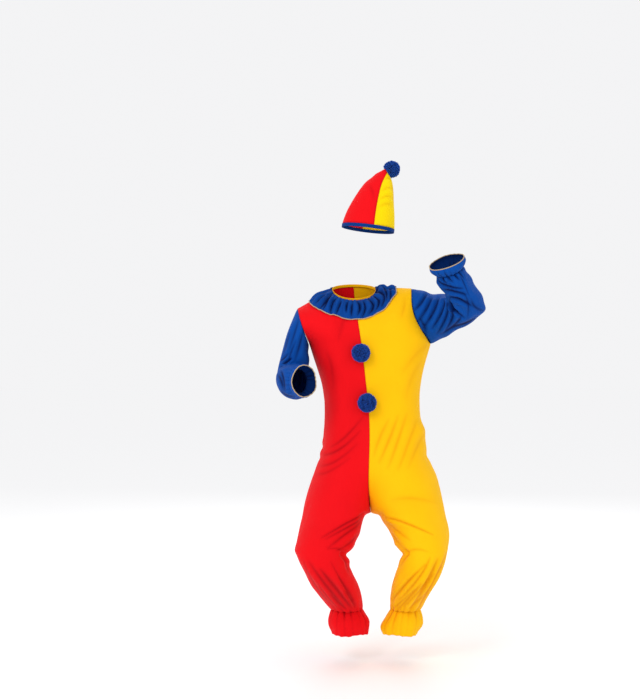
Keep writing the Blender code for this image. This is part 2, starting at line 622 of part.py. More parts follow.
def make_body():
    names = [(face, side_name) for face in ("front", "back") for side_name in ("right", "left")]
    sheets = {f"{face}_{side_name}": panel(side_name, face) for face, side_name in names}
    ways = {"front_right": 1, "front_left": -1, "back_right": -1, "back_left": 1}
    for face in ("front", "back"):
        last = YOKE_ROWS + TORSO_ROWS + 1
        sheets[f"{face}_left"][:last, 0] = sheets[f"{face}_right"][:last, 0]
    ends = {}
    for side_name in ("right", "left"):
        front, back = sheets[f"front_{side_name}"], sheets[f"back_{side_name}"]
        back[:, -1][YOKE_ROWS:] = front[:, -1][YOKE_ROWS:]
        back[0, NECK_COLUMNS:] = front[0, NECK_COLUMNS:]
        back[YOKE_ROWS + TORSO_ROWS:, 0] = front[YOKE_ROWS + TORSO_ROWS:, 0]
    add_body_folds(sheets, shared_normals(sheets, ways))
    for side_name in ("right", "left"):
        front, back = sheets[f"front_{side_name}"], sheets[f"back_{side_name}"]
        loop = np.concatenate([front[: YOKE_ROWS + 1, -1], back[:YOKE_ROWS, -1][::-1]])
        sleeve, middle, run = sleeve_sections(side_name, loop)
        name = f"sleeve_{side_name}"
        sleeve = add_sleeve_folds(sleeve, tube_normals(sleeve), SLEEVE_FOLDS[side_name])
        sheets[name], ends[name] = sleeve, (middle, run)
        plain = shared_normals({name: sleeve}, {name: 1})[name]
        ways[name] = 1 if (tube_normals(sleeve) * plain).sum() > 0 else -1
    normals = shared_normals(sheets, ways)
    for side_name in ("right", "left"):
        name = f"sleeve_{side_name}"
        normals[name][-1] = flattened(normals[name][-1], ends[name][1])
        for face in ("front", "back"):
            hem = normals[f"{face}_{side_name}"]
            hem[-1] = flattened(hem[-1], UP)
    return sheets, normals, ends


def make_costume():
    sheets, normals, ends = make_body()
    panels = {}
    for name, points in sheets.items():
        red = name.endswith("right")
        if name.startswith("sleeve"):
            lifted = points.copy()
            towards = unit(points[1] - points[0])
            lifted[0] += towards * 2 * SEAM_GAP
            panels[name] = cloth(name, lifted, normals[name], BLUE, around=True)
            continue
        trimmed = pulled_back(points, ("inner", "outer", "top"))
        panels[name] = cloth(name, trimmed, normals[name], RED if red else YELLOW)
    ruffle = collar(sheets, normals)
    cloth("collar_ruffle", ruffle, tube_normals_up(ruffle), BLUE, around=True)
    points, inward = neck_binding(sheets)
    cloth("neck_binding", points, inward, YELLOW, around=True)
    points, raised = placket(sheets, normals)
    cloth("back_placket", points, raised, YELLOW, wall=PLACKET_WALL)
    for side_name, colour in (("right", RED), ("left", YELLOW)):
        front, back = sheets[f"front_{side_name}"][-1], sheets[f"back_{side_name}"][-1]
        ring = np.concatenate([front, back[::-1][1:]])
        middle = ring[:-1].mean(axis=0)
        hem = frill(ring, middle, -UP, ANKLE_FRILL_DROP, ANKLE_WAVES, ANKLE_FLARE, ANKLE_DEPTH)
        hem[..., 0] += ANKLE_LEAN[side_name] * (hem[0, 0, 2] - hem[..., 2])
        raised = tube_normals(hem)
        raised[0] = flattened(raised[0], UP)
        cloth(f"ankle_ruffle_{side_name}", hem, raised, colour, around=True)
        name = f"sleeve_{side_name}"
        middle, run = ends[name]
        flare = CUFF_FLARE[side_name]
        cuff = frill(sheets[name][-1], middle, run, CUFF_FRILL_DROP, CUFF_WAVES, flare, CUFF_DEPTH, rings=2)
        raised = tube_normals(cuff)
        raised[0] = flattened(raised[0], run)
        cloth(f"cuff_ruffle_{side_name}", cuff, raised, BLUE, around=True)
    fronts = [panels["front_right"], panels["front_left"]]
    for name, ball in POMPOMS.items():
        x, z = ball["at"]
        core = ball["radius"] * LOCK_SHARE
        foremost = clear_front(fronts, x, z, core * 0.8)
        middle = (x, foremost - core * SEAT_SHARE - 2 * SEAM_GAP, z)
        pompom(name, middle, ball["radius"], (0, 1, 0), DEEP_BLUE)
    make_hat()


def tube_normals_up(points):
    """Normals of a ruffle that point away from the garment below it."""
    normals = shared_normals({"tube": points}, {"tube": 1})["tube"]
    return normals if normals[0][:, 2].sum() > 0 else -normals


def make_hat():
    halves, middle, lean = hat_gores()
    ways = {"hat_left": 1, "hat_right": -1}
    normals = shared_normals(halves, ways)
    outward = halves["hat_left"][0] - middle[0]
    if (normals["hat_left"][0] * outward).sum() < 0:
        normals = {name: -value for name, value in normals.items()}
    axis = np.array([math.sin(lean[0]), 0, math.cos(lean[0])])
    top_axis = np.array([math.sin(lean[-1]), 0, math.cos(lean[-1])])
    for name, colour in (("hat_right", RED), ("hat_left", HAT_YELLOW)):
        normals[name][0] = flattened(normals[name][0], axis)
        normals[name][-1] = flattened(normals[name][-1], top_axis)
        cloth(name, pulled_back(halves[name], ("inner", "outer")), normals[name], colour)
    left, right = halves["hat_left"][0], halves["hat_right"][0]
    ring = np.concatenate([left, right[::-1][1:]])
    start = ring - axis * SEAM_GAP
    band = np.array([start, start - axis * HAT_BINDING_HEIGHT])
    raised = tube_normals(band)
    cloth("hat_binding", band, flattened(raised, axis), BLUE, around=True)
    core = HAT_POMPOM_RADIUS * LOCK_SHARE
    centre = middle[-1] + top_axis * (core * SEAT_SHARE + 2 * SEAM_GAP)
    pompom("hat_pompom", tuple(centre), HAT_POMPOM_RADIUS, tuple(-top_axis), DEEP_BLUE)


clear_scene()
costume = bpy.data.collections.new("clown costume")
bpy.context.scene.collection.children.link(costume)
make_costume()
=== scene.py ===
import math
import random

import bmesh
import bpy
import numpy as np
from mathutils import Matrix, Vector
from mathutils.bvhtree import BVHTree


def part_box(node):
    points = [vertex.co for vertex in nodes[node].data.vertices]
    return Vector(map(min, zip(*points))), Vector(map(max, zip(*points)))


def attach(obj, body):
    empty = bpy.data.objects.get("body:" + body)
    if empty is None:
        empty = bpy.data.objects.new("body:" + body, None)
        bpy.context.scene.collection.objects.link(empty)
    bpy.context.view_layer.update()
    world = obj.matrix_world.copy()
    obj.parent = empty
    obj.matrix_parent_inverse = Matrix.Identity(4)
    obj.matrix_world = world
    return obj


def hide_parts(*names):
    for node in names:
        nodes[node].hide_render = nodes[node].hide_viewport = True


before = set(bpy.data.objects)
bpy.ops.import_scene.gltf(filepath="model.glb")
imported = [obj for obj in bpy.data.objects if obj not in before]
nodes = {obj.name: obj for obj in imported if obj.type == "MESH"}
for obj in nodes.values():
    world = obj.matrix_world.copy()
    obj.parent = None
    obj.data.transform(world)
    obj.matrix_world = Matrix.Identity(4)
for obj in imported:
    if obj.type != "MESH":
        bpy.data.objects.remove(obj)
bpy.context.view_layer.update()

photo = {"pixel": 0.0035, "distance": 4.5, "x": -0.119, "z": -0.21, "middle": (320, 350)}  # the pixel at y = 0
cloth = {
    "wall": 0.002, "rimOver": 1.12, "merge": 1e-5, "flatAngle": 70, "shapeAngle": 80, "cornerTurn": -0.78,
    "thickness": 0.0014, "seamTuck": 0.0011, "seamMerge": 1e-6,
}
swellShape = {"waves": 7, "upright": 0.7, "spread": (0.6, 1.5), "evenOut": 4}
gatherShape = {  # each wave: its amount, its count round the ring and its shift by the seed
    "slide": ((0.55, 2, 1), (0.45, 5, 2.1), (0.3, 9, 0.7)), "size": 0.78, "sizeWave": ((0.22, 4, 1.3),),
}
foldShape = {  # places and widths across a fold are shares of its own width
    "steps": 15, "reach": 4, "inner": 0.86, "start": 0.07, "fade": 0.8, "ridgeAt": 1.9, "ridgeWidth": 1.1,
    "ridge": 0.55, "lean": 0.25, "soft": 0.38, "line": 0.82, "lineWidth": 0.42, "fullDepth": 4,
}
up = (0, 0, 1)


def photoPlace(points):  # the pixel of the photograph that each point lies behind
    pixel = photo["pixel"] * (photo["distance"] + points[:, 1]) / photo["distance"]
    across = photo["middle"][0] + (points[:, 0] - photo["x"]) / pixel
    down = photo["middle"][1] - (points[:, 2] - photo["z"]) / pixel
    return np.stack([across, down], axis=1)


def smoothStep(low, high, value):
    t = np.clip((value - low) / (high - low), 0, 1)
    return t * t * (3 - 2 * t)


def unitRows(rows):
    return rows / np.maximum(np.linalg.norm(rows, axis=-1, keepdims=True), 1e-12)


def softSwell(points, length, seed):  # slow uneven waves in all directions, about -1 to 1
    pick = random.Random(seed)
    total = np.zeros(len(points))
    for _ in range(swellShape["waves"]):
        way = Vector((pick.gauss(0, 1), pick.gauss(0, 1), pick.gauss(0, swellShape["upright"]))).normalized()
        way *= 2 * math.pi / length * pick.uniform(*swellShape["spread"])
        total += np.sin(points @ np.array(way) + pick.uniform(0, 2 * math.pi))
    return total / swellShape["evenOut"]


def softSwells(points, swells):  # each swell: its height, its length and its seed
    return sum(height * softSwell(points, length, seed) for height, length, seed in swells)


def ringWaves(turn, seed, waves):
    return sum(amount * np.sin(count * turn + shift * seed) for amount, count, shift in waves)


def unevenWaves(turn, count, seed):  # gathers round a ring, some wide and some narrow, -1 to 1
    slide = ringWaves(turn, seed, gatherShape["slide"])
    size = gatherShape["size"] + ringWaves(turn, seed, gatherShape["sizeWave"])
    return np.sin(count * turn + slide) * size


def creaseFold(places, folds):  # each fold: three points of its line, width in pixels, depth in mm
    lift, shade = np.zeros(len(places)), np.zeros(len(places))
    steps = np.linspace(0, 1, foldShape["steps"])[:, None]
    for x0, y0, xm, ym, x1, y1, width, depth in folds:
        start, middle, end = np.array([x0, y0]), np.array([xm, ym]), np.array([x1, y1])
        bend = 2 * middle - (start + end) / 2
        line = start * (1 - steps) ** 2 + bend * 2 * steps * (1 - steps) + end * steps**2
        room = foldShape["reach"] * width
        low, high = line.min(axis=0) - room, line.max(axis=0) + room
        near = np.nonzero(((places > low) & (places < high)).all(axis=1))[0]
        if not len(near):
            continue
        at, run = places[near][:, None] - line[:-1], line[1:] - line[:-1]
        along = np.clip((at * run).sum(-1) / (run * run).sum(-1), 0, 1)
        off = at - along[..., None] * run
        apart = np.linalg.norm(off, axis=-1)
        best = apart.argmin(axis=1)
        rows = np.arange(len(near))
        away = apart[rows, best] / width
        side = np.sign(run[best, 0] * off[rows, best, 1] - run[best, 1] * off[rows, best, 0])
        part = (best + along[rows, best]) / (len(line) - 1)
        part = np.clip(part * foldShape["inner"] + foldShape["start"], 0, 1)
        fade = np.sin(math.pi * part) ** foldShape["fade"]
        valley = np.exp(-(away**2))
        ridge = np.exp(-(((away - foldShape["ridgeAt"]) / foldShape["ridgeWidth"]) ** 2))
        ridge *= foldShape["ridge"] + foldShape["lean"] * side
        lift[near] += fade * (ridge - valley) * depth / 1000
        # painted shade: a soft darkening over the fold's valley and a thin darker line along its bottom
        dark = foldShape["soft"] * valley + foldShape["line"] * np.exp(-((away / foldShape["lineWidth"]) ** 2))
        shade[near] += fade * dark * min(depth / foldShape["fullDepth"], 1)
    return lift, np.clip(shade, 0, 1)


def foldsOnBothSides(points, normals, frontFolds, backFolds, facing):
    places = photoPlace(points)
    front, back = smoothStep(*facing, -normals[:, 1]), smoothStep(*facing, normals[:, 1])
    lift, shade = creaseFold(places, frontFolds)
    liftBack, shadeBack = creaseFold(places, backFolds)
    return lift * front + liftBack * back, shade * front + shadeBack * back


def pushed(points, moves):  # pushes in the front view: place in pixels, reach in pixels, then right and up in mm
    places, moved = photoPlace(points), points.copy()
    for across, down, reach, right, rise in moves:
        near = np.exp(-((places - (across, down)) ** 2).sum(-1) / (2 * reach**2))
        moved[:, 0] += near * right / 1000
        moved[:, 2] += near * rise / 1000
    return moved


def turnAbout(points, middle, run):  # the way round an axis, and the distance along it
    axis = Vector(run).normalized()
    first = axis.orthogonal().normalized()
    second = axis.cross(first)
    at = points - np.array(middle)
    return np.arctan2(at @ np.array(second), at @ np.array(first)), at @ np.array(axis)


# sheets of cloth are taken from the solids' outer walls
def outerWall(nodeName, wall=cloth["wall"]):  # one open sheet of quads
    bm = bmesh.new()
    bm.from_mesh(nodes[nodeName].data)
    bmesh.ops.remove_doubles(bm, verts=bm.verts[:], dist=cloth["merge"])
    narrow = wall * cloth["rimOver"]
    rims = [face for face in bm.faces if min(edge.calc_length() for edge in face.edges) < narrow]
    bmesh.ops.delete(bm, geom=rims, context="FACES")
    left, islands = set(bm.faces), []
    while left:
        island, waiting = set(), [left.pop()]
        while waiting:
            face = waiting.pop()
            island.add(face)
            for edge in face.edges:
                for other in edge.link_faces:
                    if other in left:
                        left.remove(other)
                        waiting.append(other)
        islands.append(island)
    islands.sort(key=lambda island: sum(face.calc_area() for face in island))
    inner = [face for island in islands[:-1] for face in island]
    bmesh.ops.delete(bm, geom=inner, context="FACES")
    flat, shape = math.radians(cloth["flatAngle"]), math.radians(cloth["shapeAngle"])
    bmesh.ops.join_triangles(bm, faces=bm.faces[:], angle_face_threshold=flat, angle_shape_threshold=shape)
    return bm


def keepCorners(bm):  # the sharp corners of a cut piece stay sharp when its facets are rounded off
    sharp = bm.verts.layers.float.get("crease_vert") or bm.verts.layers.float.new("crease_vert")
    for vert in bm.verts:
        border = [edge for edge in vert.link_edges if edge.is_boundary]
        if len(border) == 2:
            ways = [(edge.other_vert(vert).co - vert.co).normalized() for edge in border]
            if ways[0].dot(ways[1]) > cloth["cornerTurn"]:
                vert[sharp] = 1


def placed(name, data):  # a new object in the scene
    thing = bpy.data.objects.new(name, data)
    bpy.context.scene.collection.objects.link(thing)
    return thing


def meshFrom(bm, name):
    mesh = bpy.data.meshes.new(name)
    bm.to_mesh(mesh)
    bm.free()
    return mesh


def finalMesh(holder):  # the mesh that an object comes out as, in place of the object
    mesh = bpy.data.meshes.new_from_object(holder.evaluated_get(bpy.context.evaluated_depsgraph_get()))
    bpy.data.objects.remove(holder)
    return mesh


def roundedMesh(bm, name, levels):  # the sheet with its facets rounded off, as a fine mesh
    keepCorners(bm)
    rough = meshFrom(bm, name + "Rough")
    holder = placed(name + "Rough", rough)
    rounding = holder.modifiers.new("rounding", "SUBSURF")
    rounding.levels = rounding.render_levels = levels
    rounding.boundary_smooth = "PRESERVE_CORNERS"
    fine = finalMesh(holder)
    bpy.data.meshes.remove(rough)
    fine.name = name
    return fine


def meshArrays(mesh):
    points = np.zeros(len(mesh.vertices) * 3)
    mesh.vertices.foreach_get("co", points)
    normals = np.zeros(len(mesh.vertices) * 3)
    mesh.vertex_normals.foreach_get("vector", normals)
    return points.reshape(-1, 3), normals.reshape(-1, 3)


def sheetOf(node, levels, wall=cloth["wall"]):  # a solid's outer wall as a fine mesh, with its points and normals
    mesh = roundedMesh(outerWall(node, wall), node + "Cloth", levels)
    return mesh, *meshArrays(mesh)


def edgeRings(mesh, count=3):  # how many edges each point lies from the sheet's border, up to count
    pairs = np.zeros(len(mesh.edges) * 2, int)
    mesh.edges.foreach_get("vertices", pairs)
    pairs = pairs.reshape(-1, 2)
    uses = np.zeros(len(mesh.loops), int)
    mesh.loops.foreach_get("edge_index", uses)
    border = np.bincount(uses, minlength=len(mesh.edges)) == 1
    ring = np.full(len(mesh.vertices), count)
    ring[pairs[border].ravel()] = 0
    for step in range(1, count):
        for a, b in ((0, 1), (1, 0)):
            touched = pairs[ring[pairs[:, a]] == step - 1][:, b]
            ring[touched] = np.minimum(ring[touched], step)
    return ring


def fromEdge(rings, shares):  # its share at the border and one edge in from it, and none beyond
    return np.choose(rings, (*shares, 0.0, 0.0))


def setWeaveMap(mesh, along, turn, radius):  # UVs in metres, with no jump where a tube closes
    layer = mesh.uv_layers.new(name="weave")
    corner = np.zeros(len(mesh.loops), int)
    mesh.loops.foreach_get("vertex_index", corner)
    turn = turn[corner]
    starts = np.zeros(len(mesh.polygons), int)
    mesh.polygons.foreach_get("loop_start", starts)
    highest = np.maximum.reduceat(turn, starts)
    totals = np.zeros(len(mesh.polygons), int)
    mesh.polygons.foreach_get("loop_total", totals)
    top = np.repeat(highest, totals)
    turn = np.where(top - turn > math.pi, turn + 2 * math.pi, turn)
    flat = np.stack([turn * radius, along[corner]], axis=1)
    layer.data.foreach_set("uv", flat.ravel())


def markPaintedShade(mesh, paintedShade):  # painted shade: how much darker the cloth's colour is painted where shade falls in its folds, gathers, seams and hollows, from 0 to 1
    mark = mesh.attributes.new("paintedShade", "FLOAT", "POINT")
    mark.data.foreach_set("value", np.clip(paintedShade, 0, 1))


def finishSheet(mesh, points, paintedShade, material, thickness=cloth["thickness"], inside=None):
    mesh.vertices.foreach_set("co", points.ravel())
    markPaintedShade(mesh, paintedShade)
    mesh.materials.clear()
    mesh.materials.append(material)
    mesh.update()
    mesh.shade_smooth()
    piece = placed(mesh.name, mesh)
    wall = piece.modifiers.new("wall", "SOLIDIFY")
    wall.thickness = thickness
    wall.offset = -1
    if inside:  # painted shadow: the inner wall takes a darker copy of the cloth
        mesh.materials.append(inside)
        wall.material_offset = 1
    return piece


def declare(piece, node):
    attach(piece, "root")
    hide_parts(node)


def newGroup(name, inputs, outputs):
    group = bpy.data.node_groups.new(name, "ShaderNodeTree")
    for label, kind, value in inputs:
        socket = group.interface.new_socket(label, in_out="INPUT", socket_type=kind)
        if value is not None:
            socket.default_value = value
    for label, kind in outputs:
        group.interface.new_socket(label, in_out="OUTPUT", socket_type=kind)
    return group, group.nodes.new("NodeGroupInput"), group.nodes.new("NodeGroupOutput")


def mathNode(tree, operation, first, second=None, third=None):
    node = tree.nodes.new("ShaderNodeMath")
    node.operation = operation
    for socket, value in zip(node.inputs, (first, second, third)):
        if value is None:
            continue
        if isinstance(value, (int, float)):
            socket.default_value = value
        else:
            tree.links.new(value, socket)
    return node.outputs[0]


knit = {
    "ribWidth": 0.0011, "patches": 0.5, "waveLength": 0.314, "distortion": 0.6, "waveDetail": 1,
    "fibres": {"scale": 900, "detail": 2}, "slowPatches": {"scale": 7, "detail": 3},
    "fibreHeight": 0.5, "patchMiddle": 0.5, "ribTone": 0.10, "middleTone": 0.45,
}


def makeKnitGrain():  # fine ribs of a knit, with slow patches of lighter and darker yarn
    inputs = [
        ("Weave", "NodeSocketVector", None), ("Place", "NodeSocketVector", None),
        ("Rib Width", "NodeSocketFloat", knit["ribWidth"]), ("Patches", "NodeSocketFloat", knit["patches"]),
    ]
    outputs = [("Height", "NodeSocketFloat"), ("Tone", "NodeSocketFloat")]
    group, taken, given = newGroup("knitGrain", inputs, outputs)
    links = group.links
    ribScale = mathNode(group, "DIVIDE", knit["waveLength"], taken.outputs["Rib Width"])
    waves, noises = [], []
    for direction in ("X", "Y"):
        wave = group.nodes.new("ShaderNodeTexWave")
        wave.bands_direction = direction
        wave.inputs["Distortion"].default_value = knit["distortion"]
        wave.inputs["Detail"].default_value = knit["waveDetail"]
        links.new(taken.outputs["Weave"], wave.inputs["Vector"])
        links.new(ribScale, wave.inputs["Scale"])
        waves.append(wave.outputs["Fac"])
    for values in (knit["fibres"], knit["slowPatches"]):
        noise = group.nodes.new("ShaderNodeTexNoise")
        noise.inputs["Scale"].default_value = values["scale"]
        noise.inputs["Detail"].default_value = values["detail"]
        links.new(taken.outputs["Place"], noise.inputs["Vector"])
        noises.append(noise.outputs["Fac"])
    stitches = mathNode(group, "MULTIPLY", *waves)
    height = mathNode(group, "MULTIPLY_ADD", noises[0], knit["fibreHeight"], stitches)
    links.new(height, given.inputs["Height"])
    slow = mathNode(group, "SUBTRACT", noises[1], knit["patchMiddle"])
    slow = mathNode(group, "MULTIPLY", slow, taken.outputs["Patches"])
    fine = mathNode(group, "MULTIPLY_ADD", stitches, knit["ribTone"], knit["middleTone"])
    links.new(mathNode(group, "ADD", slow, fine), given.inputs["Tone"])
    return group


knitGrain = makeKnitGrain()
finish = {  # a material's own values below stand before these
    "ribWidth": knit["ribWidth"], "patches": knit["patches"], "bump": 0.22, "bumpHeight": 0.0005,
    "shade": 0.75, "toneSpread": 0.5, "toneBase": 0.72,
    "roughness": 0.66, "specular": 0.05, "sheen": 0.015, "sheenRoughness": 0.45,
}
# each: its lit colour, and the deep colour that the painted shade and the yarn's random patches darken it towards
paint = {
    "redKnit": {"light": (0.82, 0.0045, 0.009), "deep": (0.34, 0.001, 0.005)},
    "yellowKnit": {"light": (0.96, 0.525, 0.003), "deep": (0.74, 0.235, 0.001)},
    "hatYellowKnit": {"light": (0.96, 0.70, 0.002), "deep": (0.76, 0.38, 0.001)},
    "blueKnit": {"light": (0.002, 0.068, 0.35), "deep": (0.001, 0.005, 0.055), "shade": 0.92},
    # the collar: a darker copy of the blue, painted shade over the whole collar
    "collarShadedKnit": {"light": (0.002, 0.056, 0.295), "deep": (0.001, 0.004, 0.045), "shade": 0.94},
    # the cuffs' inner walls: painted shadow, a near black copy of the blue
    "cuffInsideShadedKnit": {"light": (0.001, 0.018, 0.11), "deep": (0.001, 0.003, 0.03), "roughness": 0.85},
    "pompomYarn": {
        "light": (0.022, 0.115, 0.56), "deep": (0.002, 0.004, 0.035), "shade": 0.95,
        "ribWidth": 0.0008, "roughness": 0.9, "sheen": 0.05,
    },
    "goldTrim": {
        "light": (0.50, 0.38, 0.24), "deep": (0.22, 0.15, 0.08),
        "ribWidth": 0.0006, "roughness": 0.45, "bump": 0.5,
    },
}


def clothMaterial(name):
    look = {**finish, **paint[name]}
    material = bpy.data.materials.new(name)
    material.use_nodes = True
    tree = material.node_tree
    shader = tree.nodes["Principled BSDF"]
    place = tree.nodes.new("ShaderNodeTexCoord")
    grain = tree.nodes.new("ShaderNodeGroup")
    grain.node_tree = knitGrain
    grain.inputs["Rib Width"].default_value = look["ribWidth"]
    grain.inputs["Patches"].default_value = look["patches"]
    tree.links.new(place.outputs["UV"], grain.inputs["Weave"])
    tree.links.new(place.outputs["Object"], grain.inputs["Place"])
    # the base colour runs from the deep colour to the light colour: darker where the painted shade attribute is
    # high, and in the yarn's random patches
    paintedShade = tree.nodes.new("ShaderNodeAttribute")
    paintedShade.attribute_name = "paintedShade"
    lit = mathNode(tree, "MULTIPLY", paintedShade.outputs["Fac"], look["shade"])
    lit = mathNode(tree, "SUBTRACT", 1.0, lit)
    tone = mathNode(tree, "MULTIPLY_ADD", grain.outputs["Tone"], look["toneSpread"], look["toneBase"])
    mix = tree.nodes.new("ShaderNodeMix")
    mix.data_type = "RGBA"
    mix.inputs["A"].default_value = (*look["deep"], 1)
    mix.inputs["B"].default_value = (*look["light"], 1)
    tree.links.new(mathNode(tree, "MULTIPLY", lit, tone), mix.inputs["Factor"])
    tree.links.new(mix.outputs["Result"], shader.inputs["Base Color"])
    rise = tree.nodes.new("ShaderNodeBump")
    rise.inputs["Strength"].default_value = look["bump"]
    rise.inputs["Distance"].default_value = look["bumpHeight"]
    tree.links.new(grain.outputs["Height"], rise.inputs["Height"])
    tree.links.new(rise.outputs["Normal"], shader.inputs["Normal"])
    shader.inputs["Roughness"].default_value = look["roughness"]
    shader.inputs["Sheen Weight"].default_value = look["sheen"]
    shader.inputs["Sheen Roughness"].default_value = look["sheenRoughness"]
    shader.inputs["Specular IOR Level"].default_value = look["specular"]
    return material


redCloth = clothMaterial("redKnit")
yellowCloth = clothMaterial("yellowKnit")
hatCloth = clothMaterial("hatYellowKnit")
blueCloth = clothMaterial("blueKnit")
collarShadedCloth = clothMaterial("collarShadedKnit")
insideCloth = clothMaterial("cuffInsideShadedKnit")
pompomYarn = clothMaterial("pompomYarn")
goldTrim = clothMaterial("goldTrim")
halves = {
    "right": {"material": redCloth, "slot": "red_cloth"},
    "left": {"material": yellowCloth, "slot": "yellow_cloth"},
}
print("materials made")

# the jumpsuit's panels
panels = {
    "front_right": {"side": "right", "flat": (0.44, 1.25), "area": 0.33},
    "front_left": {"side": "left", "flat": (0.46, 1.27), "area": 0.355},
    "back_right": {"side": "right", "flat": (0.44, 1.25), "area": 0.33},
    "back_left": {"side": "left", "flat": (0.46, 1.27), "area": 0.36},
}
panelShape = {
    "levels": 3, "facing": (-0.02, 0.4), "shade": 1.25, "swells": ((0.0011, 0.16, 3), (0.0005, 0.06, 5)),
    "edgeTuck": (1.0, 0.35), "edgeShade": (0.15, 0.0), "weaveRadius": 0.14,
}
frontFolds = [  # the yellow half, from the waist down
    (389, 419, 380, 437, 374, 456, 2.5, 1.7), (398, 416, 389, 440, 379, 463, 2.6, 2.1),
    (407, 414, 398, 441, 388, 468, 2.6, 1.9), (416, 420, 408, 445, 398, 470, 2.7, 1.7),
    (424, 430, 417, 448, 408, 468, 2.8, 1.2), (383.5, 517.5, 405, 523, 433, 534.5, 1.4, 4.4),
    (384.5, 520, 396, 530, 410, 540, 2, 2.2), (386, 526, 394, 537, 404, 549, 2.1, 2),
    (405, 554, 415, 549.5, 428, 551.5, 1.7, 1.8), (404, 549, 405.5, 556, 401.5, 565, 1.4, 2.8),
    (447, 553, 433, 583, 418, 609, 1.9, 4), (438, 559, 428, 580, 411, 609, 2.1, 5.2),
    (430, 558, 419, 578, 399, 600, 1.7, 3.8), (425, 565, 407, 583, 391.5, 601, 1.7, 5.2),
    (421, 583, 410, 597, 398.5, 609, 1.8, 5), (443, 566, 433, 583, 421, 604, 1.7, 3.8),
    (430, 586, 420, 599, 410, 609, 1.5, 2.8), (405, 298, 404, 308, 401, 318, 2.6, 1.2),
    (428, 344, 414, 357, 402, 374, 4, 0.9), (422, 360, 412, 378, 406, 398, 4.2, 0.8),
    (452, 566, 444, 582, 432, 600, 1.5, 2.4), (434, 573, 420, 590, 404, 607, 1.3, 3.2),
    (414, 590, 402, 601, 393, 609, 1.4, 2.8), (397, 566, 393, 580, 391, 596, 2, 1.6),
    (392, 500, 412, 498, 436, 503, 3.6, 1.1),
    # the red half
    (331, 447, 346, 436, 363, 417, 2.7, 2), (322, 455, 340, 449, 360, 431, 2.7, 2.3),
    (318, 466, 336, 461, 357, 444, 2.8, 1.8), (315, 474, 330, 471, 350, 458, 2.8, 1.3),
    (365, 514, 347, 523, 321.5, 538, 1.7, 3.8), (363, 518, 348, 527, 326, 539, 1.9, 3.2),
    (361, 522, 346, 534, 328, 548, 2.2, 2.8), (357, 532, 349, 543, 337, 551, 2.2, 2.2),
    (347, 553, 338, 549, 328, 549, 1.7, 1.8), (341, 556, 346, 562, 349, 572, 1.5, 2.8),
    (309, 562, 328, 588, 346, 608, 2.8, 3), (321, 570, 336, 589, 352, 608, 3, 4),
    (303, 560, 316, 587, 337, 609, 2.2, 2.2), (340, 578, 349, 593, 356, 607, 2.4, 3.2),
    (330, 594, 339, 603, 346, 609, 1.5, 2.6), (331, 562, 342, 582, 352, 600, 1.6, 2.2),
    (344, 590, 351, 600, 355, 609, 1.3, 2.4), (316, 580, 328, 597, 341, 609, 1.5, 2.2),
    (326, 350, 331, 366, 333, 388, 4, 1.3), (345, 308, 343, 322, 338, 340, 4, 1.1),
]
backFolds = [  # places are given as if seen through the front
    (392, 396, 384, 408, 370, 415, 2.6, 3.4), (326, 398, 336, 412, 352, 421, 2.6, 3),
    (424, 404, 408, 420, 386, 430, 2.6, 3.4), (320, 416, 332, 432, 346, 441, 2.6, 2.8),
    (366, 505, 345, 512, 318, 522, 2.2, 4), (370, 505, 396, 513, 424, 522, 2.2, 4),
    (362, 514, 342, 524, 316, 532, 2.2, 3.6), (376, 514, 398, 524, 426, 533, 2.2, 3.6),
    (350, 548, 328, 553, 300, 548, 2, 4.4), (346, 556, 326, 561, 302, 556, 2, 4),
    (405, 548, 424, 553, 448, 548, 2, 4.4), (404, 556, 424, 561, 446, 556, 2, 4),
    (306, 564, 322, 588, 338, 610, 1.9, 3.4), (320, 570, 334, 590, 346, 607, 1.9, 3),
    (336, 582, 345, 596, 352, 609, 1.6, 2.6), (444, 562, 432, 586, 416, 609, 1.9, 3.4),
    (430, 570, 418, 588, 404, 606, 1.9, 3), (412, 584, 405, 597, 398, 609, 1.6, 2.6),
    (322, 318, 340, 336, 362, 344, 3.4, 2.4), (424, 318, 404, 338, 378, 348, 3.4, 2.4),
]
panelMoves = [  # the legs' arch, the knees and the waist
    (366, 518, 3.6, 0.5, 10.5), (378, 518.3, 3.6, -0.5, 10.5), (379.5, 516.5, 3, 7, 1), (365, 518.5, 4, -5, 0),
    (357, 534, 6, 7, 0), (351, 546.5, 4, 7, 0), (295.5, 550.5, 3.5, -5, 0), (404.5, 553, 2.6, 11, 0),
    (395.5, 545, 2.6, -5, 0), (345, 553.8, 2.4, -18, 0), (350, 560.5, 2.8, 4.5, 0), (347.5, 567, 2.4, -3, 0),
    (404, 553.5, 2.4, 5, 0), (402, 562, 3, -2.5, 0), (320, 441, 2.2, -3, 0), (321, 447, 2, 3, 0),
    (319.5, 452, 2.2, -2.5, 0), (318, 458, 2, 3, 0), (421.5, 430, 5, 8, 0), (427.5, 456, 3, -4.5, 0),
]
ankleMoves = [
    (382, 627, 5.0, -10, 0), (421.5, 633, 4.0, -12, 0), (330, 632, 4.0, 6, 0), (369, 620, 4.0, 4, 0),
]
centreSeam = {"high": (352, 300), "low": (371.5, 512), "reach": 5.0, "end": 530}  # in pixels
legGather = {
    "ankle": -1.108, "shin": 0.088, "top": 0.2, "count": 15, "depth": 0.0020, "reach": 0.030, "shade": 0.75,
    "pinch": 0.0009, "pinchReach": 0.007, "line": 0.22, "lineReach": 0.0035,
    "right": {"low": (-0.0255, -0.0465), "high": (-0.063, -0.132), "seed": 1.7},
    "left": {"low": (0.177, -0.0465), "high": (0.1925, -0.132), "seed": 4.1},
}


def legTurn(points, side):  # the way round a leg near the ankle
    share = (points[:, 2] - legGather["ankle"]) / legGather["shin"]
    low, high = np.array(legGather[side]["low"]), np.array(legGather[side]["high"])
    middle = low + (high - low) * np.clip(share, 0, 1)[:, None]
    out = points[:, :2] - middle
    return np.arctan2(out[:, 1], out[:, 0])


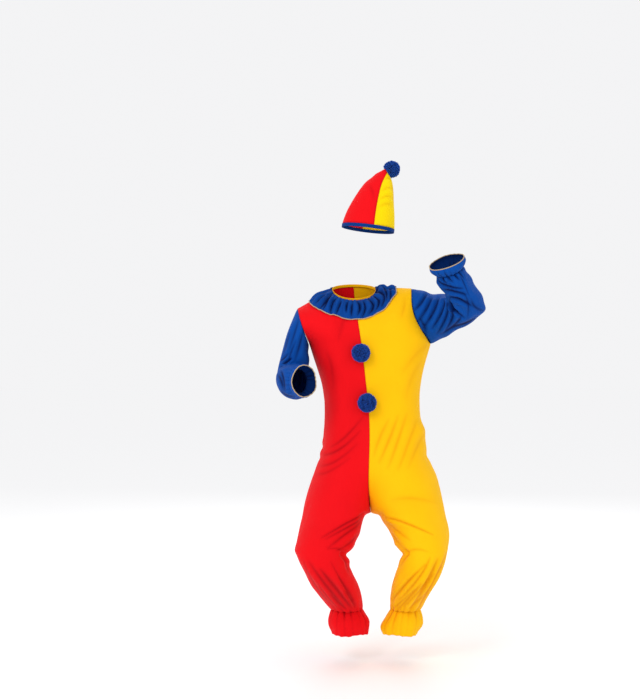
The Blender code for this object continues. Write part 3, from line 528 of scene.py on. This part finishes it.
def shapePanel(node, cut):
    side, half = cut["side"], halves[cut["side"]]
    mesh, points, normals = sheetOf(node, panelShape["levels"])
    total, shade = foldsOnBothSides(points, normals, frontFolds, backFolds, panelShape["facing"])
    total += softSwells(points, panelShape["swells"])
    height = points[:, 2] - legGather["ankle"]
    near = np.exp(-np.clip(height, 0, None) / legGather["reach"]) * (height < legGather["top"])
    waves = unevenWaves(legTurn(points, side), legGather["count"], legGather[side]["seed"])
    total += near * legGather["depth"] * waves
    total -= legGather["pinch"] * np.exp(-((height / legGather["pinchReach"]) ** 2))
    # painted shade: a dark line along the ankle's gather, and darker valleys in the folds and gathers and along
    # the seams
    line = legGather["line"] * np.exp(-((height / legGather["lineReach"]) ** 2))
    paintedShade = panelShape["shade"] * shade
    paintedShade += legGather["shade"] * near * np.clip(-waves, 0, 1) ** 2 + line
    rings = edgeRings(mesh)
    total -= fromEdge(rings, panelShape["edgeTuck"]) * cloth["seamTuck"]
    paintedShade += fromEdge(rings, panelShape["edgeShade"])
    # the centre seam stays straight: nothing moves sideways near it
    places = photoPlace(points)
    high, low = centreSeam["high"], centreSeam["low"]
    seam = high[0] + (places[:, 1] - high[1]) * (low[0] - high[0]) / (low[1] - high[1])
    held = np.exp(-(((places[:, 0] - seam) / centreSeam["reach"]) ** 2)) * (places[:, 1] < centreSeam["end"])
    normals[:, 0] *= 1 - held
    ahead = points[:, 1] * (-1 if node.startswith("front") else 1)
    aroundBody = np.arctan2(points[:, 0] - points[:, 0].mean(), ahead)
    setWeaveMap(mesh, points[:, 2], aroundBody, panelShape["weaveRadius"])
    shaped = pushed(points + normals * total[:, None], panelMoves)
    piece = finishSheet(mesh, shaped, paintedShade, half["material"])
    declare(piece, node)


for node, cut in panels.items():
    shapePanel(node, cut)
print("panels made")

# the sleeves
sleeveFolds = [  # the left sleeve
    (426.5, 293, 421.5, 302, 414.5, 310, 1.5, 4.2), (432, 296.5, 426, 309.5, 417.5, 322, 1.6, 4.4),
    (438.5, 297, 433, 312, 423.5, 328, 1.7, 4.6), (444, 300, 441.5, 312, 432, 329, 1.5, 5),
    (448, 302, 446, 317, 437, 335, 1.6, 4.6), (451, 304, 452.5, 317, 446, 332, 1.7, 4.4),
    (449.5, 299, 453, 308, 464, 317.5, 1.5, 5.6), (451, 303, 452.5, 308, 457, 312, 1.1, 5.5),
    (461, 317, 457, 324, 451, 331, 1.8, 3.2), (441, 336, 461, 327, 481, 315, 2.4, 3.4),
    (437, 278, 446, 285.5, 463, 288.5, 1.5, 4.2), (443, 288.5, 453, 291, 466, 294.5, 1.7, 4.2),
    (449.5, 297, 460, 299.5, 471, 305.5, 1.8, 4.4), (463, 293, 468, 303, 467, 320, 1.6, 1.7),
    (459.5, 276, 465, 284, 469.5, 297, 1.2, 1.8), (447, 275, 449, 278, 452.5, 282, 1.1, 3.4),
    (442, 275, 443, 279, 447, 283, 1.1, 3), (452, 272, 455.5, 276, 460, 280, 1.1, 3.4),
    (456, 270, 460, 273, 465, 279, 1.1, 3), (471, 299, 475, 307, 482, 311, 2.2, 2),
    (420, 318, 424, 326, 426, 334, 2, 2.4),
    # the right sleeve
    (299, 318, 294, 334, 289, 350, 2.4, 1.6), (303, 332, 300, 345, 296, 360, 2.4, 2),
    (290, 332, 286, 344, 283, 356, 2.2, 1.5), (296, 341, 291, 353, 290, 361, 1.8, 1.8),
    (283, 363.5, 287, 362, 292, 358.5, 1.4, 5), (281, 366.5, 285, 366.5, 288, 364, 1.3, 4.2),
    (279, 361, 284, 358.5, 288, 354, 1.6, 2.8), (277.5, 374, 281, 379, 284, 389, 1.8, 2.6),
    (281, 370, 284, 378, 286, 391, 1.8, 2.8), (281, 390, 287, 395, 296, 397, 1.7, 2.6),
]
sleeveBackFolds = [
    (424, 300, 438, 312, 452, 318, 2.2, 3.6), (420, 314, 436, 322, 450, 328, 2.2, 3.2),
    (446, 300, 458, 312, 468, 322, 2.2, 3.4), (456, 270, 466, 288, 472, 304, 2, 2.6),
    (442, 276, 452, 292, 458, 302, 2, 2.6), (297, 322, 291, 338, 286, 352, 1.8, 1.6),
    (291, 318, 285, 333, 280, 346, 1.8, 1.2), (282, 362, 290, 368, 296, 378, 2, 3),
    (279, 372, 288, 380, 294, 390, 2, 2.6),
]
sleeveMoves = [
    (479, 284, 6.0, -19, 0), (470, 271, 3.5, -9, 0), (472.5, 277, 3.0, -8, 0), (484, 310, 4.5, 15, -3),
    (455, 335, 8.0, 0, 14), (441, 341, 4.5, 0, 7), (432, 292, 4.0, 0, -10), (443.5, 292, 2.8, 12, -3),
    (437, 283, 2.6, -6, 0), (437.5, 295, 2.8, 0, -5), (479, 291, 2.5, -4, 0), (307, 381, 14.0, -14, 0),
]
sleeves = {
    "sleeve_right": {
        "wrist": (-0.179, -0.205, -0.315), "run": (0.48, -0.87, 0.04), "seed": 2.3,
        "flat": (0.40, 0.42), "area": 0.132, "frill": (0.36, 0.037),
    },
    "sleeve_left": {
        "wrist": (0.314, -0.208, 0.054), "run": (-0.34, -0.36, 0.87), "seed": 5.2,
        "flat": (0.50, 0.44), "area": 0.16, "frill": (0.42, 0.038),
    },
}
sleeveShape = {
    "levels": 3, "facing": (0.02, 0.45), "lift": 1.35, "shade": 1.5,
    "swells": ((0.0014, 0.1, 8), (0.0006, 0.045, 9)),
    "edgeTuck": (0.9, 0.3), "edgeShade": (0.35, 0.08), "weaveRadius": 0.06,
}
cuffGather = {
    "count": 19, "depth": 0.0016, "reach": 0.026, "within": 0.14, "shade": 0.5,
    "pinch": 0.0014, "pinchReach": 0.006, "pinchFrom": 0.3,
}


def shapeSleeve(node, cut):
    mesh, points, normals = sheetOf(node, sleeveShape["levels"])
    lift, shade = foldsOnBothSides(points, normals, sleeveFolds, sleeveBackFolds, sleeveShape["facing"])
    total = sleeveShape["lift"] * lift + softSwells(points, sleeveShape["swells"])
    turn, along = turnAbout(points, cut["wrist"], cut["run"])
    fromWrist = np.linalg.norm(points - np.array(cut["wrist"]), axis=1)
    near = np.exp(-np.abs(along) / cuffGather["reach"]) * (fromWrist < cuffGather["within"])
    waves = unevenWaves(turn, cuffGather["count"], cut["seed"])
    total += near * cuffGather["depth"] * waves
    pinch = cuffGather["pinch"] * np.exp(-((along / cuffGather["pinchReach"]) ** 2))
    total -= pinch * (near > cuffGather["pinchFrom"])
    # painted shade in the folds' and the cuff gathers' valleys and along the seams
    paintedShade = sleeveShape["shade"] * shade
    paintedShade += cuffGather["shade"] * near * np.clip(-waves, 0, 1)
    rings = edgeRings(mesh)
    total -= fromEdge(rings, sleeveShape["edgeTuck"]) * cloth["seamTuck"]
    paintedShade += fromEdge(rings, sleeveShape["edgeShade"])
    setWeaveMap(mesh, fromWrist, turn, sleeveShape["weaveRadius"])
    shaped = pushed(points + normals * total[:, None], sleeveMoves)
    piece = finishSheet(mesh, shaped, paintedShade, blueCloth)
    declare(piece, node)


for node, cut in sleeves.items():
    shapeSleeve(node, cut)
print("sleeves made")


def borderLoops(node):  # the sewn edge and the free edge of a frill's outer wall
    bm = outerWall(node)
    left = {edge for edge in bm.edges if edge.is_boundary}
    loops = []
    while left:
        edge = left.pop()
        first, at = edge.verts
        loop = [first.co.copy(), at.co.copy()]
        while True:
            onward = [other for other in at.link_edges if other in left]
            if not onward:
                break
            left.remove(onward[0])
            at = onward[0].other_vert(at)
            loop.append(at.co.copy())
        loops.append(np.array(loop[:-1]))
    bm.free()
    loops.sort(key=lambda loop: np.linalg.norm(loop - np.roll(loop, 1, axis=0), axis=1).sum())
    return loops[0], loops[-1]


# the loop is read at even turns round an axis, and its waves are smoothed away
def evenLoop(loop, middle, axis, count, harmonics):
    turn = turnAbout(loop, middle, axis)[0]
    order = turn.argsort()
    turn, loop = turn[order], loop[order]
    at = np.linspace(-math.pi, math.pi, count, endpoint=False)
    read = np.stack([np.interp(at, turn, loop[:, i], period=2 * math.pi) for i in range(3)], axis=1)
    wave = np.fft.rfft(read, axis=0)
    wave[harmonics + 1:] = 0
    return at, np.fft.irfft(wave, count, axis=0)


# a mesh over a grid of points whose columns run once round; the weave map follows it
def closedSheet(name, grid):
    rows, columns = grid.shape[:2]
    closed = np.concatenate([grid, grid[:, :1]], axis=1)
    bm = bmesh.new()
    bmesh.ops.create_grid(bm, x_segments=columns, y_segments=rows - 1, size=1)
    weave = bm.loops.layers.uv.new("weave")
    length = np.linalg.norm(closed[rows // 2, 1:] - closed[rows // 2, :-1], axis=1).sum()
    height = np.linalg.norm(grid[1:, 0] - grid[:-1, 0], axis=1).sum()
    for face in bm.faces:
        for corner in face.loops:
            row, column = divmod(corner.vert.index, columns + 1)
            corner[weave].uv = (column / columns * length, row / (rows - 1) * height)
    for vert, place in zip(bm.verts, closed.reshape(-1, 3)):
        vert.co = place
    bmesh.ops.remove_doubles(bm, verts=bm.verts[:], dist=cloth["seamMerge"])
    return meshFrom(bm, name)


def facesOut(mesh, middle):  # turns the sheet so that its faces point away from a line's middle
    points, normals = meshArrays(mesh)
    if (normals * (points - np.array(middle))).sum() < 0:
        mesh.flip_normals()


def edgeTrim(name, loop, radius):  # a fine round trim along a frill's free edge
    line = bpy.data.curves.new(name, "CURVE")
    line.dimensions = "3D"
    spline = line.splines.new("POLY")
    spline.points.add(len(loop) - 1)
    for point, place in zip(spline.points, loop):
        point.co = (*place, 1)
    spline.use_cyclic_u = True
    line.bevel_depth = radius
    line.bevel_resolution = 1
    mesh = finalMesh(placed(name + "Line", line))
    mesh.materials.clear()
    mesh.materials.append(goldTrim)
    mesh.shade_smooth()
    piece = placed(name, mesh)
    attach(piece, "root")
    return piece


# the gathered frills
frillShape = {
    "harmonics": 3, "tucked": -0.08, "under": 0.0012, "round": 0.62, "startFade": 9, "rise": 0.6, "fall": 0.35,
    "sharp": 2.5, "lineFrom": 25, "length": 0.42, "lengthWave": ((0.22, 3, 2),), "hemSway": 2,
    "swayWave": ((0.6, 3, 1), (0.4, 5, 2.1)), "pinchReach": 0.06,
    "lineShade": 0.22, "edgeShade": 0.2, "edgeReach": 0.04,
}


def shapeFrill(node, values, material):
    shape, seed = frillShape, values["seed"]
    sewn, free = borderLoops(node)
    middle, end, run = sewn.mean(axis=0), free.mean(axis=0), np.array(values["run"])
    first = evenLoop(sewn, middle, run, values["columns"], shape["harmonics"])[1]
    last = evenLoop(free, end, run, values["columns"], shape["harmonics"])[1]
    axis = unitRows(run[None])[0]
    out = unitRows((first - middle) - ((first - middle) @ axis)[:, None] * axis)
    turn = values["turnOf"](first)
    waves = unevenWaves(turn, values["count"], seed)
    lines = np.clip(-waves, 0, 1) ** shape["sharp"]
    length = shape["length"] + ringWaves(turn, seed, shape["lengthWave"])
    sway = ringWaves(turn, seed, shape["swayWave"])
    grid, paintedShade = [], []
    for share in (shape["tucked"], *np.linspace(0, 1, values["rows"])):
        shown = max(share, 0)
        fade = np.exp(-((share / length) ** 2))
        deep = values["start"] * math.exp(-shown * shape["startFade"])
        deep += values["depth"] * shown ** shape["rise"] * (1 - shape["fall"] * share)
        ripple = waves * deep - lines * values["line"] * fade * (1 - math.exp(-shown * shape["lineFrom"]))
        ripple = ripple + sway * values["sway"] * share - shape["under"] * (share < 0)
        ripple -= values["pinch"] * math.exp(-((share / shape["pinchReach"]) ** 2))
        swell = math.sin(share * math.pi * shape["round"]) / math.sin(math.pi * shape["round"])
        drop = axis * (values["scallop"] * share * (waves + shape["hemSway"] * sway))[:, None]
        row = first + (last - first) * share + values["bulge"] * math.sin(math.pi * share) * out
        grid.append(row + out * ripple[:, None] + drop + out * (swell - share) * values["flare"])
        # painted shade in the pleats' valleys and along the sewn edge
        edge = shape["edgeShade"] * math.exp(-((share / shape["edgeReach"]) ** 2))
        paintedShade.append(lines * (fade + shape["lineShade"]) + edge)
    grid, paintedShade = np.array(grid), np.array(paintedShade)
    grid = pushed(grid.reshape(-1, 3), values["moves"]).reshape(grid.shape)
    mesh = closedSheet(node + "Cloth", grid)
    facesOut(mesh, (middle + end) / 2)
    points = meshArrays(mesh)[0]
    piece = finishSheet(mesh, points, paintedShade.ravel(), material, inside=values.get("inside"))
    trims = [edgeTrim(node + "Edging", grid[-1], values["trim"])] if "trim" in values else []
    declare(piece, node)


ankleFrill = {
    "columns": 384, "rows": 30, "count": legGather["count"], "depth": 0.0013, "start": legGather["depth"],
    "pinch": legGather["pinch"], "line": 0.0024, "sway": 0.0042, "bulge": 0.006, "scallop": 0.0009, "flare": 0.01,
    "run": (0, 0, -1), "moves": ankleMoves, "flat": (0.46, 0.085),
}
for side, half in halves.items():
    values = dict(ankleFrill, seed=legGather[side]["seed"], on="front_" + side + "Cloth")
    values["turnOf"] = lambda ring, side=side: legTurn(ring, side)
    shapeFrill("ankle_ruffle_" + side, values, half["material"])

# the cuff frills' inner walls take the painted shadow material
cuffFrill = {
    "columns": 300, "rows": 18, "count": cuffGather["count"], "depth": 0.0008, "start": cuffGather["depth"],
    "pinch": cuffGather["pinch"], "line": 0.0024, "sway": 0.0016, "bulge": 0.005, "scallop": 0.0002,
    "flare": 0.006, "moves": sleeveMoves, "trim": 0.0017, "inside": insideCloth,
}
for side in halves:
    cut = sleeves["sleeve_" + side]
    values = dict(cuffFrill, seed=cut["seed"], run=cut["run"], flat=cut["frill"], on="sleeve_" + side + "Cloth")
    values["turnOf"] = lambda ring, cut=cut: turnAbout(ring, cut["wrist"], cut["run"])[0]
    shapeFrill("cuff_ruffle_" + side, values, blueCloth)
print("frills made")

# the collar
collar = {
    "columns": 720, "rows": 44, "count": 21, "seed": 3.1, "sewnHarmonics": 6, "freeHarmonics": 8,
    "edge": 0.0030, "puff": 0.0085, "puffLean": 0.7, "depth": 0.0048, "depthFrom": 0.05, "depthRise": 0.62,
    "depthFall": 0.2, "small": 0.0014, "smallFade": 5, "smallShade": 0.8, "smallShadeFade": 4,
    "neckShade": 0.3, "neckShadeFade": 14, "valleySharp": 1.5, "valleyShade": 0.5, "valleyMore": 0.35,
    "behind": (-0.045, 0.005), "frontWaves": 0.35, "frontShade": 0.25, "neckCover": 0.045, "slideFull": 0.4,
    "least": 0.0008, "smoothings": 3, "foldLift": 1.2, "foldShade": 1.5, "foldFall": 0.45,
    "clear": 0.0016, "clearFrom": 0.1, "thickness": 0.0010, "trim": 0.0018, "flat": (1.0, 0.085),
}
collarFolds = [
    (331.5, 294, 325, 302, 318, 310, 1.6, 7.5), (325.5, 294.5, 321.5, 298, 315.5, 303, 1.5, 6.5),
    (328, 300, 325.5, 305, 322, 310, 1.2, 4.5), (335.5, 298, 331.5, 305, 330.5, 314, 1.4, 6),
    (341, 301, 338.5, 307, 336, 314, 1.3, 5.4), (347.5, 301.5, 346.5, 306, 346, 312, 1.2, 6),
    (352, 304, 351.5, 309, 351, 316, 1.3, 3.6), (357.5, 301.5, 359.8, 307.5, 357.5, 315, 1.3, 5.4),
    (363, 301, 365.2, 308, 362, 317, 1.3, 5.6), (369, 299, 373.4, 306, 368.5, 314, 1.5, 6.2),
    (375, 297, 379, 302, 375, 311, 1.4, 5.4), (377, 292, 384, 296, 381, 307, 1.5, 7),
    (381.5, 286.5, 386, 291.5, 386.5, 301, 1.4, 7.5), (386.6, 285, 390.4, 291, 389.6, 302, 1.3, 7),
    (378, 286.5, 377.5, 290, 376, 292, 1.3, 5),
]
collarSlides = [
    (323, 308, 8.0, -2, -12), (329, 310, 6.5, -3, -25), (327, 313, 8.0, -2, -9), (343, 317, 6.0, 0, -7),
    (386, 305, 6.0, 2, -12), (307, 299, 4.0, 7, -2),
]
collarLifts = [
    (316, 296, 4.5, -1, 5), (380, 288, 2.6, -1, 7), (384, 286, 1.8, 0, 3), (392, 287, 2.0, 1, 5),
    (387.2, 287, 1.5, 0, -9), (395, 293, 2.0, 3, 0),
]


def bodyTree():  # the panels' outer walls, to lay the collar on
    places, faces = [], []
    for node in panels:
        bm = outerWall(node)
        first = len(places)
        bm.verts.index_update()
        places += [vert.co.copy() for vert in bm.verts]
        faces += [[first + vert.index for vert in face.verts] for face in bm.faces]
        bm.free()
    return BVHTree.FromPolygons(places, faces)


def shapeCollar(values):
    sewn, free = borderLoops("collar_ruffle")
    neck = (0, 0, 0)
    turn, first = evenLoop(sewn, neck, up, values["columns"], values["sewnHarmonics"])
    last = evenLoop(free, neck, up, values["columns"], values["freeHarmonics"])[1]
    tree = bodyTree()
    waves = unevenWaves(turn, values["count"], values["seed"])
    small = unevenWaves(turn, values["count"] * 2, values["seed"] + 2)
    behind = smoothStep(*values["behind"], first[:, 1])  # the lines seen in the photograph are in front only
    waveShare = values["frontWaves"] + (1 - values["frontWaves"]) * behind
    shadeShare = values["frontShade"] + (1 - values["frontShade"]) * behind
    grid, away, paintedShade = [], [], []
    for share in np.linspace(0, 1, values["rows"]):
        reach = share - values["neckCover"] * behind * (1 - share) ** 4  # covers the neck edge at the back
        body = first + (last - first) * reach[:, None]
        body += (pushed(body, collarSlides) - body) * smoothStep(0, values["slideFull"], share)
        lift = values["edge"] + values["puff"] * math.sin(math.pi * share ** values["puffLean"])
        rise = min(share * values["depthRise"] + values["depthFrom"], 0.5)
        deep = values["depth"] * math.sin(math.pi * rise) * (1 - values["depthFall"] * share**3)
        fine = values["small"] * math.exp(-share * values["smallFade"]) * small
        for place, rise in zip(body, lift + deep * waves * waveShare + fine):
            spot, normal, _, _ = tree.find_nearest(Vector(place))
            out = Vector(place) - spot
            out = out.normalized() if out.length > 1e-4 and out.dot(normal) > 0 else normal
            grid.append(spot + out * max(rise, values["least"]))
            away.append(out)
        # painted shade in the gathers' valleys, in the small gathers near the neck and along the neck
        dark = values["valleyShade"] + values["valleyMore"] * math.sin(math.pi * share)
        valley = np.clip(-waves, 0, 1) ** values["valleySharp"] * dark * shadeShare
        fine = np.clip(-small, 0, 1) * values["smallShade"] * math.exp(-share * values["smallShadeFade"])
        paintedShade.append(valley + fine + values["neckShade"] * math.exp(-share * values["neckShadeFade"]))
    grid, away, paintedShade = np.array(grid), np.array(away), np.array(paintedShade)
    grid = grid.reshape(values["rows"], values["columns"], 3)
    for _ in range(values["smoothings"]):  # takes the panels' facets out of it
        grid = 0.5 * grid + 0.25 * (np.roll(grid, 1, axis=1) + np.roll(grid, -1, axis=1))
    lift, shade = creaseFold(photoPlace(grid.reshape(-1, 3)), collarFolds)
    share = np.repeat(np.linspace(0, 1, values["rows"]), values["columns"])
    seen = (1 - np.tile(behind, values["rows"])) * (1 - values["foldFall"] * share**2)
    rows = pushed(grid.reshape(-1, 3) + away * (values["foldLift"] * lift * seen)[:, None], collarLifts)
    for index in np.nonzero(share > values["clearFrom"])[0]:  # keeps it clear of the panels
        spot, normal, _, _ = tree.find_nearest(Vector(rows[index]))
        if (Vector(rows[index]) - spot).dot(normal) < values["clear"]:
            rows[index] = spot + normal * values["clear"]
    grid = rows.reshape(grid.shape)
    # painted shade along the listed folds
    paintedShade = paintedShade + (values["foldShade"] * shade * seen).reshape(paintedShade.shape)
    mesh = closedSheet("collarShadedCloth", grid)
    points, normals = meshArrays(mesh)
    if normals[:, 2].sum() < 0:
        mesh.flip_normals()
    # the collar takes the darker copy of the blue, as painted shade
    piece = finishSheet(mesh, points, paintedShade.ravel(), collarShadedCloth, values["thickness"])
    trim = edgeTrim("collarEdging", grid[-1], values["trim"])
    declare(piece, "collar_ruffle")


shapeCollar(collar)
print("collar made")

# the neck binding and the back closing
closings = {
    "neck_binding": {"flat": (0.50, 0.012), "wall": 0.002, "held": "stretched", "drop": 0},
    "back_placket": {"flat": (0.032, 0.31), "wall": 0.0015, "held": "laid", "drop": 0.010},
}
closingShape = {"levels": 2, "edgeShade": (0.3, 0.1), "dropOver": 0.03, "thickness": 0.0012, "weaveRadius": 0.08}
for node, cut in closings.items():
    mesh, points, normals = sheetOf(node, closingShape["levels"], cut["wall"])
    setWeaveMap(mesh, points[:, 2], turnAbout(points, (0, 0, 0), up)[0], closingShape["weaveRadius"])
    # painted shade along the edges
    paintedShade = fromEdge(edgeRings(mesh), closingShape["edgeShade"])
    if cut["drop"]:  # its top end lies under the collar
        top = points[:, 2].max()
        points[:, 2] -= cut["drop"] * smoothStep(top - closingShape["dropOver"], top, points[:, 2])
    piece = finishSheet(mesh, points, paintedShade, yellowCloth, closingShape["thickness"])
    declare(piece, node)
print("binding made")

# the hat
hat = {
    "levels": 2, "flat": (0.30, 0.27), "area": 0.044, "centre": (0.05, 0, 0.3), "weaveRadius": 0.07,
    "facing": (0, 0.4), "backFolds": 0.6, "swells": ((0.0012, 0.09, 12),), "swellFrom": (0.20, 0.26),
    "edgeTuck": (1.0, 0.3), "tuckFrom": (0.20, 0.215), "edgeShade": (0.35, 0.08),
}
hatBand = {"levels": 2, "flat": (0.58, 0.013), "shade": 0.5, "weaveRadius": 0.09}
hatMoves = [(379, 169, 4.0, 3.5, -2.5), (371.5, 177.5, 3.5, 3.5, -2.0), (392.5, 178, 3.0, 4, 0)]
hatFolds = [
    (382, 191, 387, 188, 392, 189, 1.8, 2.6), (380, 200, 386, 196.5, 394, 199, 2, 2.6),
    (378, 208, 386, 204, 394, 207, 2.2, 2), (368, 184, 372, 190, 374, 200, 2.4, 1.4),
    (384, 179, 388, 178, 391, 180, 1.4, 2), (391, 182, 393.5, 192, 393.5, 204, 1.8, 2.2),
]
for node, material, slot in (("hat_right", redCloth, "red_cloth"), ("hat_left", hatCloth, "hat_yellow_cloth")):
    mesh, points, normals = sheetOf(node, hat["levels"])
    lift, shade = creaseFold(photoPlace(points), hatFolds)
    front, back = smoothStep(*hat["facing"], -normals[:, 1]), smoothStep(*hat["facing"], normals[:, 1])
    total = lift * (front + hat["backFolds"] * back)
    total += softSwells(points, hat["swells"]) * smoothStep(*hat["swellFrom"], points[:, 2])
    rings = edgeRings(mesh)
    tuck = fromEdge(rings, hat["edgeTuck"]) * cloth["seamTuck"]
    total -= tuck * smoothStep(*hat["tuckFrom"], points[:, 2])
    setWeaveMap(mesh, points[:, 2], turnAbout(points, hat["centre"], up)[0], hat["weaveRadius"])
    # painted shade in the folds and along the seams
    paintedShade = shade + fromEdge(rings, hat["edgeShade"])
    shaped = pushed(points + normals * total[:, None], hatMoves)
    piece = finishSheet(mesh, shaped, paintedShade, material)
    declare(piece, node)
mesh, points, normals = sheetOf("hat_binding", hatBand["levels"])
setWeaveMap(mesh, points[:, 2], turnAbout(points, hat["centre"], up)[0], hatBand["weaveRadius"])
# painted shade, even over the whole band
piece = finishSheet(mesh, points, np.full(len(points), hatBand["shade"]), blueCloth)
declare(piece, "hat_binding")
print("hat made")

# the pompoms
pompoms = {
    "pompom_upper": {"core": 0.53, "seed": 11, "seat": (0, 1, 0), "swell": 1.01},
    "pompom_lower": {"core": 0.53, "seed": 12, "seat": (0, 1, 0), "swell": 1.01},
    "hat_pompom": {"core": 0.72, "seed": 13, "seat": (-0.87, 0, -0.5), "swell": 1.07},
}
yarn = {  # lengths are shares of a pompom's radius, apart from the clumps'
    "subdivisions": 5, "ball": 0.80, "uneven": 0.022, "unevenLength": 1.1, "seatEdge": 0.72, "grown": 0.62,
    "sway": 0.035, "reach": (0.12, 0.20), "clump": 0.012, "tip": 0.75,
    "clumpWaves": ((41, 0, 0, 3), (17, 37, 0, 0), (0, -13, 43, 0)),  # by x, y, z and the seed
    "shade": 0.30, "deepFrom": 0.93, "deepShade": 4.0, "clumpShade": 0.62, "clumps": ((0.010, 0), (0.005, 5)),
}


def shapePompom(node, values):
    low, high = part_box(node)
    onHat = node == "hat_pompom"
    radius = (high.y - low.y) / 2 if onHat else (high.z - low.z) / 2
    middle = (low + high) / 2
    if onHat:
        middle.x, middle.z = high.x - radius, high.z - radius
    else:
        middle.y = low.y + radius
    radius *= values["swell"]
    seed, pick = values["seed"], random.Random(values["seed"])
    seat = Vector(values["seat"]).normalized()
    bm = bmesh.new()
    bmesh.ops.create_icosphere(bm, subdivisions=yarn["subdivisions"], radius=radius * yarn["ball"])
    uneven = softSwell(np.array([vert.co[:] for vert in bm.verts]), radius * yarn["unevenLength"], seed + 9)
    for vert, rise in zip(bm.verts, uneven):
        vert.co *= 1 + yarn["uneven"] * rise
    tufts = [face for face in bm.faces if face.calc_center_median().normalized().dot(seat) < yarn["seatEdge"]]
    tufts = [face for face in tufts if pick.random() < yarn["grown"]]
    grown = bmesh.ops.extrude_discrete_faces(bm, faces=tufts)["faces"]
    for face in grown:
        centre = face.calc_center_median()
        out = centre.normalized()
        sway = Vector((pick.gauss(0, 1), pick.gauss(0, 1), pick.gauss(0, 1))) * radius * yarn["sway"]
        clump = sum(math.sin(a * out.x + b * out.y + c * out.z + d * seed) for a, b, c, d in yarn["clumpWaves"])
        reach = radius * (pick.uniform(*yarn["reach"]) + yarn["clump"] * clump)
        for vert in face.verts:
            vert.co = centre + (vert.co - centre) * yarn["tip"] + out * reach + sway
    for vert in bm.verts:
        over = vert.co.dot(seat) - radius * values["core"]
        if over > 0:
            vert.co -= seat * over
        vert.co += middle
    bmesh.ops.recalc_face_normals(bm, faces=bm.faces[:])
    mesh = meshFrom(bm, node + "Yarn")
    mesh.materials.append(pompomYarn)
    points = meshArrays(mesh)[0]
    # painted shade, darker deeper among the tufts and in random clumps
    depth = np.linalg.norm(points - np.array(middle), axis=1) / radius
    clumps = sum(softSwell(points, length, seed + more) for length, more in yarn["clumps"])
    shade = yarn["shade"] + (yarn["deepFrom"] - depth) * yarn["deepShade"] + yarn["clumpShade"] * clumps
    markPaintedShade(mesh, shade)
    piece = placed(node + "Yarn", mesh)
    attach(piece, "root")
    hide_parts(node)


for node, values in pompoms.items():
    shapePompom(node, values)
print("pompoms made")

# the floor, the light and the camera
studio = {
    "floor": -1.285, "size": 30, "tone": (1.0, 1.0, 1.0), "sky": (0.94, 0.94, 0.95), "world": 0.96,
    "aim": (0.05, 0, -0.4), "lens": 66.1, "sensor": 36,
}
lamps = {
    "key": {"at": (-1.9, -3.4, 2.0), "size": 1.6, "power": 52},
    "fill": {"at": (2.6, -3.0, 0.2), "size": 2.6, "power": 10},
    "back": {"at": (0.4, 3.2, 1.8), "size": 2.4, "power": 30},
}
bm = bmesh.new()
bmesh.ops.create_grid(bm, x_segments=1, y_segments=1, size=studio["size"])
for vert in bm.verts:
    vert.co.z = studio["floor"]
floorMesh = meshFrom(bm, "floor")
floorMaterial = bpy.data.materials.new("floor")
floorMaterial.use_nodes = True
shader = floorMaterial.node_tree.nodes["Principled BSDF"]
shader.inputs["Base Color"].default_value = (*studio["tone"], 1)
shader.inputs["Roughness"].default_value = 1.0
shader.inputs["Specular IOR Level"].default_value = 0.0
floorMesh.materials.append(floorMaterial)
floor = placed("floor", floorMesh)

world = bpy.data.worlds.new("studio")
world.use_nodes = True
background = world.node_tree.nodes["Background"]
background.inputs["Color"].default_value = (*studio["sky"], 1)
background.inputs["Strength"].default_value = studio["world"]
bpy.context.scene.world = world

for name, lamp in lamps.items():
    light = bpy.data.lights.new(name, "AREA")
    light.size = lamp["size"]
    light.energy = lamp["power"]
    holder = placed(name, light)
    holder.location = lamp["at"]
    aim = Vector(studio["aim"]) - Vector(lamp["at"])
    holder.rotation_euler = aim.to_track_quat("-Z", "Y").to_euler()

camera = bpy.data.cameras.new("camera")
camera.lens = studio["lens"]
camera.sensor_width = studio["sensor"]
cameraHolder = placed("camera", camera)
cameraHolder.location = (photo["x"], -photo["distance"], photo["z"])
cameraHolder.rotation_euler = (math.pi / 2, 0, 0)
bpy.context.scene.camera = cameraHolder
bpy.context.scene.view_settings.view_transform = "Standard"  # keeps the dyed colours as strong as they are

print("scene made")
